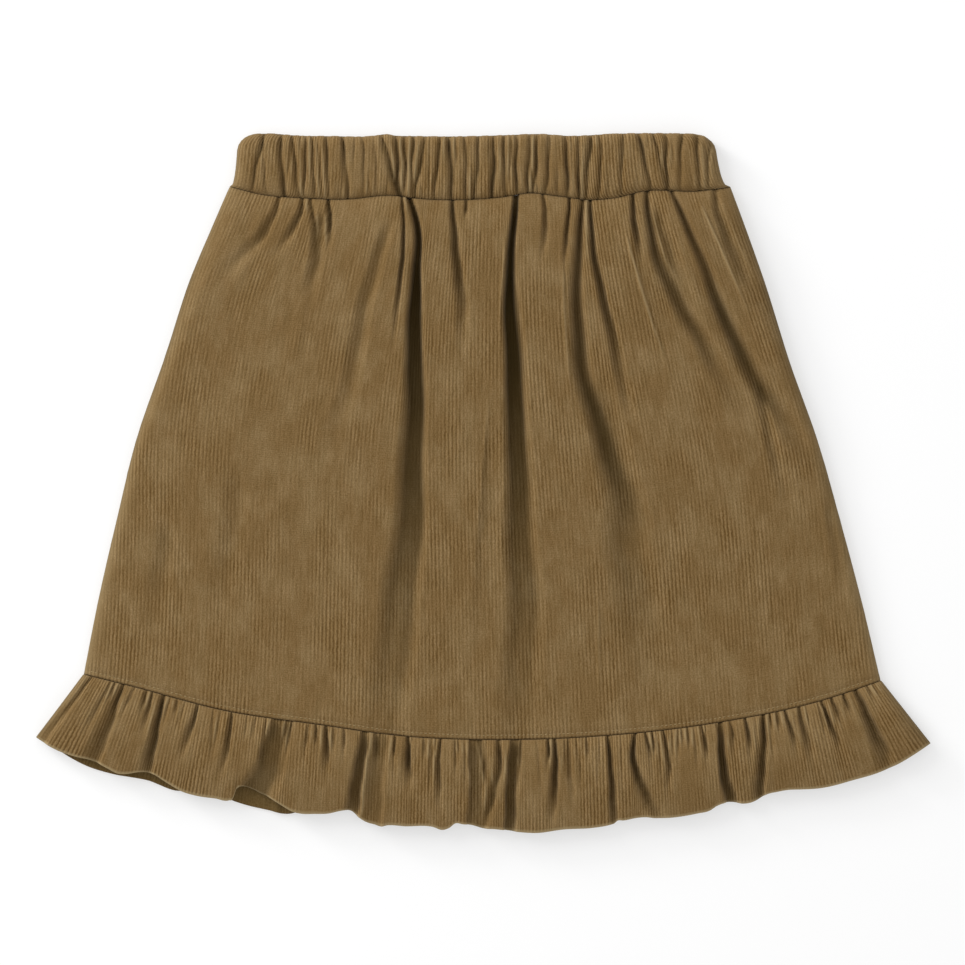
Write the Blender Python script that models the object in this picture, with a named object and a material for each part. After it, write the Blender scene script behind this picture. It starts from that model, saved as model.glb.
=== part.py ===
"""A child's gathered needlecord skirt with a ruffled hem, laid flat with its front up.

Six cloth pieces, as cut and sewn: a front and a back A-line panel, each gathered at the top into its
half of an elasticated waistband, and a gathered strip sewn below each panel as the ruffle.
The back pieces lie flat on the surface and the front pieces lie on them.

Frame: +X across the skirt, +Y from the hem to the waist, +Z up from the surface it lies on.
The origin is at the middle of the skirt's outline, on that surface. Lengths are in millimetres.
"""

import math
from collections import namedtuple

import bmesh
import bpy
import numpy as np

MM = 0.001

# ---------------------------------------------------------------- driving sizes
CLOTH = 1.2  # thickness of one layer of needlecord
SEAM_GAP = 0.3  # between pieces that are sewn together, and between layers
BAND_WALL = 3.05  # casing: outer cloth, elastic and inner cloth
BAND_TOP = 147.52  # Y from which the waistband's corners are measured
BAND_CORNER = 7.0  # how far the band's rounded top corners reach down
BAND_CORNER_CUT = 8.0  # and how far they cut in
SIDE_LENGTH = 206.0  # side seam, measured down Y from the waist seam to the ruffle
RUFFLE_ENDS = 169.0  # half the length of the seam that carries the ruffle

FOLD_ROOM = 0.55  # more air between the layers, away from the side seams
THINNEST = 1.0  # the wall's least height, where a fold is pressed flat
STEEPEST_WALL = 3.2  # and its greatest, as a share of the cloth, where a fold stands up
BAND_FRONT_LOW = BAND_WALL + SEAM_GAP  # the band's front half lies on its back half

# Half widths of the body to the left and right, by the drop below the waist seam's ends.
SideRow = namedtuple("SideRow", "drop left right")
SIDES = [
    SideRow(0, 107.0, 105.0),
    SideRow(14, 113.2, 110.2),
    SideRow(39, 123.8, 119.3),
    SideRow(72, 134.6, 129.8),
    SideRow(106, 146.4, 142.0),
    SideRow(140, 154.8, 151.8),
    SideRow(174, 162.6, 160.9),
    SideRow(206, 168.9, 168.6),
]

# The waist seam bows down in the middle, and its gathers pull it up and down a little.
SeamRow = namedtuple("SeamRow", "x y")
WAIST_SEAM = [
    SeamRow(-107, 125.2),
    SeamRow(-94, 121.8),
    SeamRow(-77, 120.3),
    SeamRow(-58, 119.7),
    SeamRow(-38, 121.3),
    SeamRow(-29, 120.2),
    SeamRow(7, 120.5),
    SeamRow(20, 122.3),
    SeamRow(33, 120.9),
    SeamRow(45, 119.5),
    SeamRow(57, 120.5),
    SeamRow(67, 123.0),
    SeamRow(92, 123.2),
    SeamRow(105, 125.0),
]

# The hem seam is one long arc, a little lower on the right.
HEM_SEAM = [
    SeamRow(-169.0, -81.2),
    SeamRow(-150, -85.9),
    SeamRow(-107, -97.0),
    SeamRow(-70, -102.4),
    SeamRow(-33, -107.4),
    SeamRow(5, -108.9),
    SeamRow(49, -107.4),
    SeamRow(96, -102.2),
    SeamRow(146, -91.6),
    SeamRow(168.7, -83.9),
]

# How the ruffle strip falls from its seam: sideways and down to its free edge.
FallRow = namedtuple("FallRow", "at out down")
RUFFLE_FALL = [
    FallRow(-169, -20.1, 26.6),
    FallRow(-155, -14.4, 34.0),
    FallRow(-139, -10.0, 35.4),
    FallRow(-107, -5.0, 36.9),
    FallRow(-70, -2.0, 38.4),
    FallRow(-33, -1.0, 38.2),
    FallRow(5, 0.0, 38.9),
    FallRow(49, 1.0, 38.4),
    FallRow(96, 3.0, 37.0),
    FallRow(126, 5.0, 35.0),
    FallRow(146, 9.0, 35.0),
    FallRow(158, 14.0, 33.0),
    FallRow(169, 20.1, 25.5),
]

# ---------------------------------------------------------------- folds
# A fold starts and ends at these distances below the seam and follows a line through evenly
# spaced places. `wide` is its half width. `lean` puts its bottom nearer one side (-1 left, 1 right)
# and `flat` widens it.
Fold = namedtuple("Fold", "start end line wide_start wide_end deep lean flat")
FRONT_FOLDS = [
    Fold(0, 40, (-86.2, -91.2, -102.3, -114.0), 1.7, 7.0, 2.1, 0, 0),
    Fold(0, 25, (-76.2, -77.8, -82.6, -89.0), 1.4, 4.0, 2.4, 0, 0),
    Fold(0, 26, (-73.0, -71.0, -71.2), 1.3, 1.8, 2.3, 0, 0),
    Fold(0, 22, (-65.2, -64.4, -65.0), 1.5, 2.0, 3.6, 0, 0),
    Fold(5, 50, (-67.8, -69.4, -72.4, -76.0), 3.0, 5.5, 2.1, 0, 0),
    Fold(8, 118, (-37.8, -49.0, -57.0, -70.0), 3.5, 7.0, 1.7, 0.2, 0),
    Fold(0, 66, (-34.1, -33.6, -35.8, -37.6), 1.1, 1.8, 3.2, 0, 0),
    Fold(0, 112, (-31.0, -27.5, -29.5, -28.9, -29.0), 1.7, 5.8, 6.4, 0.2, 0.1),
    Fold(20, 262, (-30.0, -29.2, -36.2, -46.0), 3.0, 14.0, 6.4, 0.4, 0),
    Fold(0, 68, (-12.8, -11.0, -8.6, -8.4), 1.8, 4.4, 4.0, 0, 0),
    Fold(0, 8, (-6.9, -6.9, -6.9), 1.2, 1.4, 2.2, 0, 0),
    Fold(0, 140, (14.0, 11.5, 12.0, 14.8, 11.0), 1.8, 6.0, 6.6, 0, 0.1),
    Fold(25, 262, (12.0, 15.1, 17.0, 11.5), 3.5, 13.0, 5.4, 0, 0),
    Fold(95, 210, (5.0, 4.0, 2.0, -1.0), 5.0, 9.0, 0.7, -0.7, 0),
    Fold(0, 30, (25.4, 26.6, 26.0, 25.4), 1.5, 2.4, 2.3, 0, 0),
    Fold(0, 32, (36.9, 36.0, 34.9, 34.4), 1.1, 1.5, 3.4, 0, 0),
    Fold(0, 160, (42.6, 39.7, 44.4, 58.0, 74.0), 1.9, 9.5, 4.8, 0, 0),
    Fold(70, 235, (48.0, 58.5, 67.0, 69.0), 8.0, 17.0, 2.6, 0, 0),
    Fold(0, 104, (45.6, 49.4, 57.8, 64.0), 1.6, 4.6, 4.1, 0, 0),
    Fold(0, 32, (63.2, 63.9, 65.4, 68.0), 1.6, 2.6, 3.8, 0.3, 0),
    Fold(0, 108, (69.8, 77.6, 98.2, 121.0), 1.9, 8.5, 4.4, -0.2, 0),
    Fold(6, 66, (73.5, 79.0, 87.0, 95.0), 4.0, 7.0, 2.6, 0, 0),
    Fold(0, 145, (79.8, 95.2, 112.0, 134.8, 158.0), 2.2, 9.0, 4.1, 0, 0),
    Fold(30, 120, (88.0, 103.0, 118.0, 131.0), 6.0, 14.0, 1.2, 0.3, 0),
    Fold(0, 62, (98.4, 103.4, 113.5, 122.0), 2.4, 6.0, 2.5, 0, 0),
    Fold(80, 140, (117.0, 120.5, 126.0, 131.0), 3.0, 5.0, 1.5, 0, 0),
    Fold(130, 178, (145.2, 148.7, 151.7, 153.7), 2.5, 5.0, 1.0, 0, 0),
    Fold(137, 192, (-133.3, -135.4, -138.8, -144.2), 5.0, 9.0, 1.0, 0.2, 0),
    Fold(115, 187, (-102.9, -106.1, -110.3, -115.6), 6.0, 10.0, 0.8, 0.2, 0),
]
# The back's folds rise from the surface, between the front's deepest ones.
BACK_FOLDS = [
    Fold(0, 46, (-92, -98, -108), 2.4, 4.5, 1.8, 0, 0),
    Fold(0, 88, (-70, -76, -88), 2.4, 6.0, 2.4, 0.3, 0),
    Fold(0, 52, (-49, -51, -54), 2.2, 4.5, 2.0, 0, 0),
    Fold(0, 110, (-5, -5, -7), 2.4, 6.5, 2.6, -0.3, 0),
    Fold(0, 60, (26, 28, 31), 2.2, 5.0, 2.2, 0, 0),
    Fold(0, 96, (57, 62, 70), 2.4, 6.0, 2.5, -0.3, 0),
    Fold(0, 44, (76, 80, 88), 2.2, 4.5, 1.8, 0, 0),
    Fold(0, 30, (93, 97, 102), 2.0, 3.5, 1.6, 0, 0),
]

# The band's folded top edge is drawn up and down a little by its gathers.
BAND_EDGE = [
    SeamRow(-107, 147.7),
    SeamRow(-95, 147.7),
    SeamRow(-81, 146.9),
    SeamRow(-67, 146.7),
    SeamRow(-47, 146.9),
    SeamRow(-43, 147.5),
    SeamRow(-38, 146.9),
    SeamRow(-30, 146.7),
    SeamRow(-8, 146.6),
    SeamRow(13, 147.2),
    SeamRow(26, 147.6),
    SeamRow(39, 146.8),
    SeamRow(60, 147.7),
    SeamRow(94, 147.8),
    SeamRow(105, 147.6),
]
# The elastic's gathers across the front of the band: place at the top edge, slant and depth.
Gather = namedtuple("Gather", "at slant deep")
BAND_GATHERS = [
    Gather(-92.5, -5.0, 1.9),
    Gather(-85.5, 1.5, 3.1),
    Gather(-80.8, 3.5, 1.9),
    Gather(-75.0, 0.0, 1.6),
    Gather(-71.5, 0.0, 1.3),
    Gather(-65.5, 0.0, 1.8),
    Gather(-58.8, 1.8, 2.6),
    Gather(-50.5, 0.5, 1.0),
    Gather(-42.8, 7.5, 2.9),
    Gather(-36.8, 1.8, 3.4),
    Gather(-32.8, 0.0, 2.1),
    Gather(-29.3, -0.5, 2.1),
    Gather(-24.5, -4.0, 2.3),
    Gather(-18.2, -2.0, 1.8),
    Gather(-14.0, 0.8, 3.4),
    Gather(-7.2, 0.0, 1.6),
    Gather(-1.3, -2.5, 2.1),
    Gather(5.1, -1.3, 3.1),
    Gather(9.3, 0.0, 1.8),
    Gather(14.4, 0.0, 2.3),
    Gather(20.0, -1.0, 2.1),
    Gather(23.6, -2.4, 2.1),
    Gather(29.2, -3.0, 1.8),
    Gather(35.6, 0.0, 2.3),
    Gather(41.0, -0.8, 2.1),
    Gather(45.8, -2.2, 3.1),
    Gather(50.0, -0.8, 1.8),
    Gather(60.0, -2.0, 1.6),
    Gather(66.5, 4.2, 2.9),
    Gather(72.8, 4.6, 1.8),
    Gather(77.3, 1.0, 2.6),
    Gather(84.2, -0.8, 1.6),
    Gather(90.6, 1.2, 2.3),
    Gather(96.0, -0.8, 1.6),
]

# Folds of the front ruffle, placed along its seam; they start and end at shares of its depth.
RUFFLE_FOLDS = [
    Fold(0, 1.5, (-165.6, -167.2, -168.0), 1.6, 2.4, 2.2, 0.7, 0),
    Fold(0, 0.25, (-155.4, -155.2, -155.0), 1.0, 1.4, 1.6, 0, 0),
    Fold(0, 1.7, (-152.6, -152.6, -153.2), 2.4, 5.2, 3.2, 0.6, 0),
    Fold(0, 0.25, (-142.2, -142.0, -141.8), 1.0, 1.3, 2.0, 0, 0),
    Fold(0, 0.5, (-139.7, -139.3, -138.5), 1.1, 2.2, 2.4, 0.3, 0),
    Fold(0, 1.5, (-134.9, -134.4, -133.2), 1.7, 4.0, 4.2, 0.4, 0),
    Fold(0, 0.2, (-129.0, -128.8, -128.5), 1.0, 1.2, 1.4, 0, 0),
    Fold(0, 0.7, (-120.4, -121.9, -124.8), 1.2, 2.8, 2.5, 0.2, 0),
    Fold(0, 0.8, (-106.4, -106.3, -107.8), 1.2, 2.6, 2.5, 0.4, 0),
    Fold(0, 2.2, (-84.6, -90.2, -99.5, -111.0), 5.2, 9.0, 3.7, -0.4, 1.0),
    Fold(0, 1.2, (-80.6, -83.6, -88.0), 1.0, 1.6, 1.6, 0.5, 0),
    Fold(0, 0.25, (-70.3, -70.2, -70.1), 1.0, 1.3, 2.0, 0, 0),
    Fold(0, 0.55, (-66.4, -65.8, -65.2), 1.4, 2.8, 3.4, 0.6, 0),
    Fold(0, 0.25, (-58.4, -58.2, -58.0), 1.0, 1.3, 1.2, 0, 0),
    Fold(0, 1.6, (-49.6, -53.4, -57.0), 2.4, 4.4, 4.2, 0.2, 0.5),
    Fold(0, 1.5, (-43.8, -45.6, -47.0), 4.6, 5.6, 2.6, 0.7, 0.5),
    Fold(0, 0.3, (-45.0, -45.2, -45.6), 1.0, 1.4, 2.0, 0, 0),
    Fold(0, 0.3, (-36.8, -37.4, -38.0), 1.0, 1.3, 1.8, 0, 0),
    Fold(0, 0.6, (-31.8, -31.4, -30.8), 1.4, 3.0, 4.0, 0.6, 0),
    Fold(0, 0.25, (-24.5, -24.4, -24.3), 1.0, 1.3, 1.2, 0, 0),
    Fold(0, 0.85, (-17.7, -18.5, -16.4), 1.2, 2.6, 2.8, 0.2, 0),
    Fold(0, 0.2, (-10.4, -10.0, -9.6), 1.0, 1.2, 1.2, 0, 0),
    Fold(0, 1.6, (-2.6, -2.4, -5.0), 3.6, 4.2, 2.8, -0.7, 0.8),
    Fold(0, 0.75, (-0.6, 2.0, 4.6), 1.9, 2.8, 2.9, -0.3, 0),
    Fold(0, 1.5, (6.4, 5.2, -0.8, -6.0), 2.2, 3.6, 3.4, 0.4, 0),
    Fold(0, 1.7, (13.9, 12.4, 11.6, 13.6), 2.9, 3.4, 4.3, -0.6, 0.5),
    Fold(0, 0.5, (16.4, 15.6, 14.4), 1.0, 1.4, 2.0, 0.3, 0),
    Fold(0, 0.25, (27.6, 28.0, 28.4), 1.0, 1.3, 2.2, 0, 0),
    Fold(0, 1.0, (30.2, 29.8, 27.0), 1.6, 3.2, 4.4, 0.6, 0),
    Fold(0, 0.75, (36.3, 36.7, 38.8), 1.2, 2.4, 2.0, 0.2, 0),
    Fold(0, 0.25, (44.0, 44.3, 44.6), 1.0, 1.3, 1.6, 0, 0),
    Fold(0, 1.5, (53.6, 54.6, 56.2), 1.5, 3.2, 3.9, -0.6, 0),
    Fold(0, 1.25, (65.0, 64.4, 70.6, 77.5), 1.4, 4.8, 4.9, -0.3, 0),
    Fold(0, 0.3, (68.8, 70.0, 71.0), 1.0, 1.3, 2.6, 0, 0),
    Fold(0, 0.3, (71.8, 72.2, 72.6), 1.0, 1.3, 2.2, 0, 0),
    Fold(0, 0.75, (76.2, 77.6, 76.2), 1.2, 2.2, 2.8, 0.3, 0),
    Fold(0, 0.2, (84.2, 84.3, 84.4), 1.0, 1.2, 1.4, 0, 0),
    Fold(0, 0.25, (86.8, 86.9, 87.0), 1.0, 1.2, 1.6, 0, 0),
    Fold(0, 0.4, (92.5, 93.4, 94.2), 1.1, 1.6, 2.2, 0.2, 0),
    Fold(0, 1.7, (100.8, 100.6, 103.4, 107.5), 1.4, 5.4, 5.2, -0.5, 0.2),
    Fold(0, 0.5, (105.4, 105.1, 104.8), 1.4, 2.2, 1.2, 0, 0),
    Fold(0, 0.45, (111.3, 111.8, 112.6), 1.2, 1.8, 2.8, 0, 0),
    Fold(0, 1.7, (118.6, 115.6, 111.5, 106.0), 1.7, 4.8, 4.5, 0.5, 0),
    Fold(0, 0.2, (121.7, 121.6, 121.5), 1.0, 1.2, 1.6, 0, 0),
    Fold(0, 0.2, (124.5, 124.4, 124.3), 1.0, 1.2, 1.4, 0, 0),
    Fold(0, 0.55, (127.8, 129.2, 130.4), 1.2, 2.0, 3.0, 0.2, 0),
    Fold(0, 0.75, (133.8, 134.6, 137.0), 1.6, 3.2, 2.8, 0, 0),
    Fold(0, 0.7, (143.5, 144.9, 147.4), 1.2, 2.0, 3.6, 0, 0),
    Fold(0, 0.4, (147.6, 148.6, 149.6), 1.1, 1.5, 2.4, 0, 0),
    Fold(0, 0.3, (152.6, 153.0, 153.5), 1.0, 1.3, 2.2, 0, 0),
    Fold(0, 1.35, (157.4, 157.6, 156.2), 2.0, 4.0, 4.4, 0.5, 0),
    Fold(0, 0.2, (162.6, 162.6, 162.6), 1.0, 1.2, 1.6, 0, 0),
    Fold(0, 0.2, (165.2, 165.2, 165.2), 1.0, 1.2, 1.2, 0, 0),
]
# How far each free edge draws back from the smooth line of RUFFLE_FALL, in mm.
EdgeRow = namedtuple("EdgeRow", "at back")
FRONT_EDGE = [
    EdgeRow(-169, 0.0),
    EdgeRow(-163, 0.0),
    EdgeRow(-158, 1.35),
    EdgeRow(-154, 2.5),
    EdgeRow(-151, 2.4),
    EdgeRow(-147, 1.2),
    EdgeRow(-143, 0.0),
    EdgeRow(-140, 0.9),
    EdgeRow(-137, 2.7),
    EdgeRow(-134, 3.6),
    EdgeRow(-131, 3.6),
    EdgeRow(-128, 2.4),
    EdgeRow(-124, 0.9),
    EdgeRow(-120.5, -0.2),
    EdgeRow(-115, -0.5),
    EdgeRow(-108, 0.2),
    EdgeRow(-102.6, 0.7),
    EdgeRow(-101.4, 1.6),
    EdgeRow(-100.4, 6.4),
    EdgeRow(-99, 7.4),
    EdgeRow(-97, 7.5),
    EdgeRow(-94, 6.9),
    EdgeRow(-91, 5.8),
    EdgeRow(-88, 5.0),
    EdgeRow(-84.9, 3.6),
    EdgeRow(-81.8, 2.1),
    EdgeRow(-78, 0.5),
    EdgeRow(-74.3, 0.2),
    EdgeRow(-69.3, 0.9),
    EdgeRow(-63, 2.1),
    EdgeRow(-59.9, 3.3),
    EdgeRow(-57.4, 4.1),
    EdgeRow(-54.3, 4.2),
    EdgeRow(-51.1, 2.1),
    EdgeRow(-48, 0.5),
    EdgeRow(-44.3, -0.2),
    EdgeRow(-41.8, -0.7),
    EdgeRow(-39.3, 0.1),
    EdgeRow(-31.8, 0.5),
    EdgeRow(-20.5, 1.2),
    EdgeRow(-16.1, 0.2),
    EdgeRow(-13.6, 1.2),
    EdgeRow(-11.1, 3.2),
    EdgeRow(-8, 3.0),
    EdgeRow(-4.3, 2.7),
    EdgeRow(-0.3, 1.6),
    EdgeRow(5.4, 1.3),
    EdgeRow(14.1, 0.2),
    EdgeRow(22.3, -0.5),
    EdgeRow(33.5, 0.4),
    EdgeRow(46, 0.2),
    EdgeRow(52.3, 0.7),
    EdgeRow(54.8, 1.2),
    EdgeRow(55.8, 2.1),
    EdgeRow(58.5, 2.1),
    EdgeRow(64.1, 2.6),
    EdgeRow(67.9, 2.4),
    EdgeRow(71, 1.6),
    EdgeRow(76, 1.0),
    EdgeRow(88.3, 0.9),
    EdgeRow(93.3, 1.2),
    EdgeRow(96.4, 2.6),
    EdgeRow(99.5, 3.1),
    EdgeRow(103.3, 2.4),
    EdgeRow(107, 1.0),
    EdgeRow(110.1, 0.7),
    EdgeRow(113.3, 1.2),
    EdgeRow(115.8, 2.4),
    EdgeRow(120.8, 2.6),
    EdgeRow(124.5, 2.4),
    EdgeRow(128.9, 1.5),
    EdgeRow(135.1, 0.5),
    EdgeRow(147.6, 0.4),
    EdgeRow(157, 0.0),
    EdgeRow(163.3, -0.8),
    EdgeRow(169, -1.4),
]
BACK_EDGE = [
    EdgeRow(-169, 0.8),
    EdgeRow(-163, 0.0),
    EdgeRow(-151, -0.9),
    EdgeRow(-143, -1.1),
    EdgeRow(-133, 0.0),
    EdgeRow(-122, -0.9),
    EdgeRow(-117, 1.0),
    EdgeRow(-106, 1.5),
    EdgeRow(-100.5, 0.2),
    EdgeRow(-88, -0.9),
    EdgeRow(-79, -1.0),
    EdgeRow(-75, 0.8),
    EdgeRow(-70, 3.0),
    EdgeRow(-60, 5.8),
    EdgeRow(-54, 6.2),
    EdgeRow(-47, 3.0),
    EdgeRow(-40, 2.0),
    EdgeRow(-20, 3.0),
    EdgeRow(-10, 5.0),
    EdgeRow(0, 4.0),
    EdgeRow(20, 2.0),
    EdgeRow(45, 2.5),
    EdgeRow(60, 4.5),
    EdgeRow(75, 3.5),
    EdgeRow(90, 3.5),
    EdgeRow(99, 5.0),
    EdgeRow(110, 3.4),
    EdgeRow(120, 4.8),
    EdgeRow(135, 2.5),
    EdgeRow(160, 2.0),
    EdgeRow(169, 0.4),
]

# Height of the front panel's face, by the drop below its gathered edge: it puffs out below the
# band and sinks towards the hem.
PuffRow = namedtuple("PuffRow", "drop high")
FRONT_PUFF = [
    PuffRow(0, 7.0),
    PuffRow(8, 8.8),
    PuffRow(28, 9.9),
    PuffRow(65, 9.2),
    PuffRow(110, 7.6),
    PuffRow(160, 5.8),
    PuffRow(205, 4.8),
    PuffRow(232, 4.6),
]
# And of the ruffle's face, by the share of its fall.
RUFFLE_PUFF = [
    PuffRow(0.0, 4.9),
    PuffRow(0.06, 6.4),
    PuffRow(0.2, 7.8),
    PuffRow(0.5, 8.8),
    PuffRow(0.85, 8.0),
    PuffRow(1.0, 7.2),
]


# ---------------------------------------------------------------- shapes of cloth
def bell(t):
    """1 in the middle, 0 at -1 and 1, smooth throughout."""
    return np.where(np.abs(t) < 1, 0.5 + 0.5 * np.cos(np.pi * np.clip(t, -1, 1)), 0.0)


def ease(t):
    """0 below 0, 1 above 1, smooth between."""
    t = np.clip(t, 0, 1)
    return t * t * (3 - 2 * t)


def smooth_line(rows, key, value, at):
    """A smooth line through a table's rows, read at the places `at`."""
    xs = np.array([getattr(row, key) for row in rows], float)
    ys = np.array([getattr(row, value) for row in rows], float)
    slopes = np.gradient(ys, xs)
    at = np.clip(at, xs[0], xs[-1])
    i = np.clip(np.searchsorted(xs, at) - 1, 0, len(xs) - 2)
    span = xs[i + 1] - xs[i]
    t = (at - xs[i]) / span
    return (
        (2 * t**3 - 3 * t**2 + 1) * ys[i]
        + (t**3 - 2 * t**2 + t) * span * slopes[i]
        + (3 * t**2 - 2 * t**3) * ys[i + 1]
        + (t**3 - t**2) * span * slopes[i + 1]
    )


def bent_line(places, along):
    """A smooth line through evenly spaced places, at shares of its length from 0 to 1."""
    shares = np.linspace(0, 1, len(places))
    line = np.zeros(along.shape)
    for i, place in enumerate(places):
        others = np.delete(shares, i)
        line += place * np.prod([(along - s) / (shares[i] - s) for s in others], axis=0)
    return line


def fold_strength(along, rooted):
    """How strong a fold is along its length; one rooted in a seam starts part way open."""
    opens = ease(along / 0.12 + (0.5 if rooted else 0.0))
    fades = 1 - ease((along - 0.4) / 0.6)
    return np.where(along < 0, opens if rooted else 0.0, opens) * fades


def fold_profile(across, lean, flat, keen):
    """A fold's section, 1 at its bottom and 0 at both sides. A keen one is sharp at the bottom."""
    bottom = 0.6 * lean
    left, right = (across + 1) / (1 + bottom), (1 - across) / (1 - bottom)
    rise = np.clip(np.where(across < bottom, left, right), 0, 1)
    soft = ease(rise * (1 + flat))
    return soft + (rise**2 - soft) * keen


def fold_dips(folds, x, drop):
    """Depth of all folds at (x, drop). They are keen where they start, soften as they go and
    wander a little to the left and right."""
    dip = np.zeros(x.shape)
    for fold in folds:
        along = (drop - fold.start) / (fold.end - fold.start)
        inside = np.clip(along, 0, 1)
        wide = fold.wide_start + (fold.wide_end - fold.wide_start) * inside
        at = fold.line[0]
        wander = 0.07 * wide * (np.sin(13 * inside + at) + np.sin(29 * inside + 2.3 * at))
        line = bent_line(fold.line, inside) + wander
        keen = 0.75 * (1 - ease(inside / 0.4)) * (fold.start == 0) * (fold.flat == 0)
        profile = fold_profile((x - line) / wide, fold.lean, fold.flat, keen)
        dip += fold.deep * fold_strength(along, fold.start == 0) * profile
    return dip


def rest_above(height, floor, softness=0.5):
    """Height, but never below the floor: cloth that would sink lies on it."""
    over = height - floor
    return floor + 0.5 * (over + np.sqrt(over**2 + softness**2))


def side_roll(inset, radius):
    """0 at a side edge, 1 from one radius in: the cloth rolls over to its seam as a quarter round."""
    near = 1 - np.clip(inset / radius, 0, 1)
    return np.sqrt(1 - near**2)


def crowded(count, marks, reach, pull):
    """Places from -1 to 1 that crowd round the marks and the two ends."""
    fine = np.linspace(-1, 1, 4001)
    weight = np.ones(fine.shape)
    for mark in marks:
        weight += pull * bell((fine - mark) / reach)
    weight += 1.5 * bell((np.abs(fine) - 1) / 0.05)
    total = np.concatenate([[0], np.cumsum((weight[1:] + weight[:-1]) / 2)])
    return np.interp(np.linspace(0, total[-1], count), total, fine)


# ---------------------------------------------------------------- where the cloth lies
def side_x(drop, across):
    """X on the body at a drop of the side seams, for across from -1 (left) to 1 (right)."""
    left = smooth_line(SIDES, "drop", "left", drop)
    right = smooth_line(SIDES, "drop", "right", drop)
    return (right - left) / 2 + across * (right + left) / 2


def panel_place(across, down):
    """X, Y, and the drop below the waist seam, of a place on a panel; down is 0 at the waist."""
    x = side_x(down * SIDE_LENGTH, across)
    waist = smooth_line(WAIST_SEAM, "x", "y", side_x(0.0 * down, across)) - SEAM_GAP / 2
    hem = smooth_line(HEM_SEAM, "x", "y", side_x(0.0 * down + SIDE_LENGTH, across))
    hem = hem + SEAM_GAP / 2
    return x, waist + (hem - waist) * down, (waist - hem) * down


def panel_inset(x, down):
    """How far a place on a panel lies in from the nearer side edge."""
    left = side_x(down * SIDE_LENGTH, -1.0)
    right = side_x(down * SIDE_LENGTH, 1.0)
    return np.minimum(x - left, right - x)


def side_lift(inset, drop):
    """The side seams rise towards the waist, where they meet the thicker band's."""
    return (BAND_WALL - CLOTH) * (1 - ease(drop / 45)) * (1 - ease(inset / 16))


def back_panel_height(x, drop, inset):
    """Height of the back panel's upper face: flat on the surface but for its folds."""
    rise = fold_dips(BACK_FOLDS, x, drop)
    return CLOTH + rise * ease(inset / 12) + side_lift(inset, drop)


def back_panel_face(across, down):
    """The back panel's upper face, which the front lies on."""
    x, y, drop = panel_place(across, down)
    return np.stack([x, y, back_panel_height(x, drop, panel_inset(x, down))], axis=-1)


def front_panel_face(across, down):
    """The front panel's outer face: puffed out, dipping at its folds, lying on the back panel.
    The second result is the height its inner face keeps above."""
    x, y, drop = panel_place(across, down)
    dip = fold_dips(FRONT_FOLDS, x, drop)
    inset = panel_inset(x, down)
    floor = back_panel_height(x, drop, inset) + SEAM_GAP + FOLD_ROOM * ease(inset / 8)
    puff = smooth_line(FRONT_PUFF, "drop", "high", drop)
    flatter = 1 - 0.22 * ease((-35 - x) / 50) * ease(drop / 20)
    lowest = floor + CLOTH
    high = rest_above(lowest + (puff - lowest) * flatter - dip, lowest)
    radius = 9 - 4 * ease(drop / 120)
    high = lowest + (high - lowest) * side_roll(inset, radius)
    return np.stack([x, y, high], axis=-1), floor


def ruffle_place(along, down, edge):
    """X and Y on the ruffle strip, for along in mm on its seam and down from 0 to 1."""
    top = smooth_line(HEM_SEAM, "x", "y", along) - SEAM_GAP / 2
    out = smooth_line(RUFFLE_FALL, "at", "out", along)
    fall = smooth_line(RUFFLE_FALL, "at", "down", along)
    shorter = 1 - smooth_line(edge, "at", "back", along) * down**2 / 38
    return along + out * down * shorter, top - fall * down * shorter


def back_ruffle_folds():
    """The back strip's folds: uneven gathers, each rising a little from the surface."""
    folds = []
    spacing, count = 9.4, 35
    for i in range(count):
        at = (i - (count - 1) / 2) * spacing + 2.2 * math.sin(2.4 * i)
        long = i % 3 != 1
        reach = 1.5 if long else 0.5
        deep = 1.2 + 0.35 * math.sin(1.7 * i) if long else 0.8
        lean = 1.5 * math.sin(3.1 * i)
        wide_end = 3.8 if long else 1.9
        line = (at, at + lean / 2, at + lean)
        folds.append(Fold(0, reach, line, 1.8, wide_end, deep, 0, 0))
    return folds


def back_ruffle_height(along, down):
    """Height of the back ruffle's upper face: low ridges on the surface."""
    rise = fold_dips(back_ruffle_folds(), along, down)
    return CLOTH + rise * ease((RUFFLE_ENDS - np.abs(along)) / 8)


def back_ruffle_face(along, down):
    """The back ruffle's upper face, which the front one lies on."""
    x, y = ruffle_place(along, down, BACK_EDGE)
    return np.stack([x, y, back_ruffle_height(along, down)], axis=-1)


def front_ruffle_face(along, down):
    """The front ruffle's outer face, and the height that its inner face keeps above."""
    dip = fold_dips(RUFFLE_FOLDS, along, down)
    inset = RUFFLE_ENDS - np.abs(along)
    x, y = ruffle_place(along, down, FRONT_EDGE)
    floor = back_ruffle_height(along, down) + SEAM_GAP + FOLD_ROOM * ease(inset / 8)
    lowest = floor + CLOTH
    high = rest_above(smooth_line(RUFFLE_PUFF, "drop", "high", down) - dip, lowest)
    high = lowest + (high - lowest) * side_roll(inset, 5.0)
    return np.stack([x, y, high], axis=-1), floor


# ---------------------------------------------------------------- walls of cloth
def wall_behind(face, floor):
    """The inner face of a cloth wall: one thickness behind its outer face, square to the cloth, but
    never below the floor that the cloth lies on."""
    normal = np.cross(np.gradient(face, axis=1), np.gradient(face, axis=0))
    flatness = np.abs(normal[..., 2]) / np.linalg.norm(normal, axis=2)
    depth = CLOTH / np.clip(flatness, 1 / STEEPEST_WALL, 1)
    height = np.maximum(face[..., 2] - depth, floor)
    height = np.minimum(height, face[..., 2] - THINNEST)
    return np.concatenate([face[..., :2], height[..., None]], axis=-1)


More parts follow.
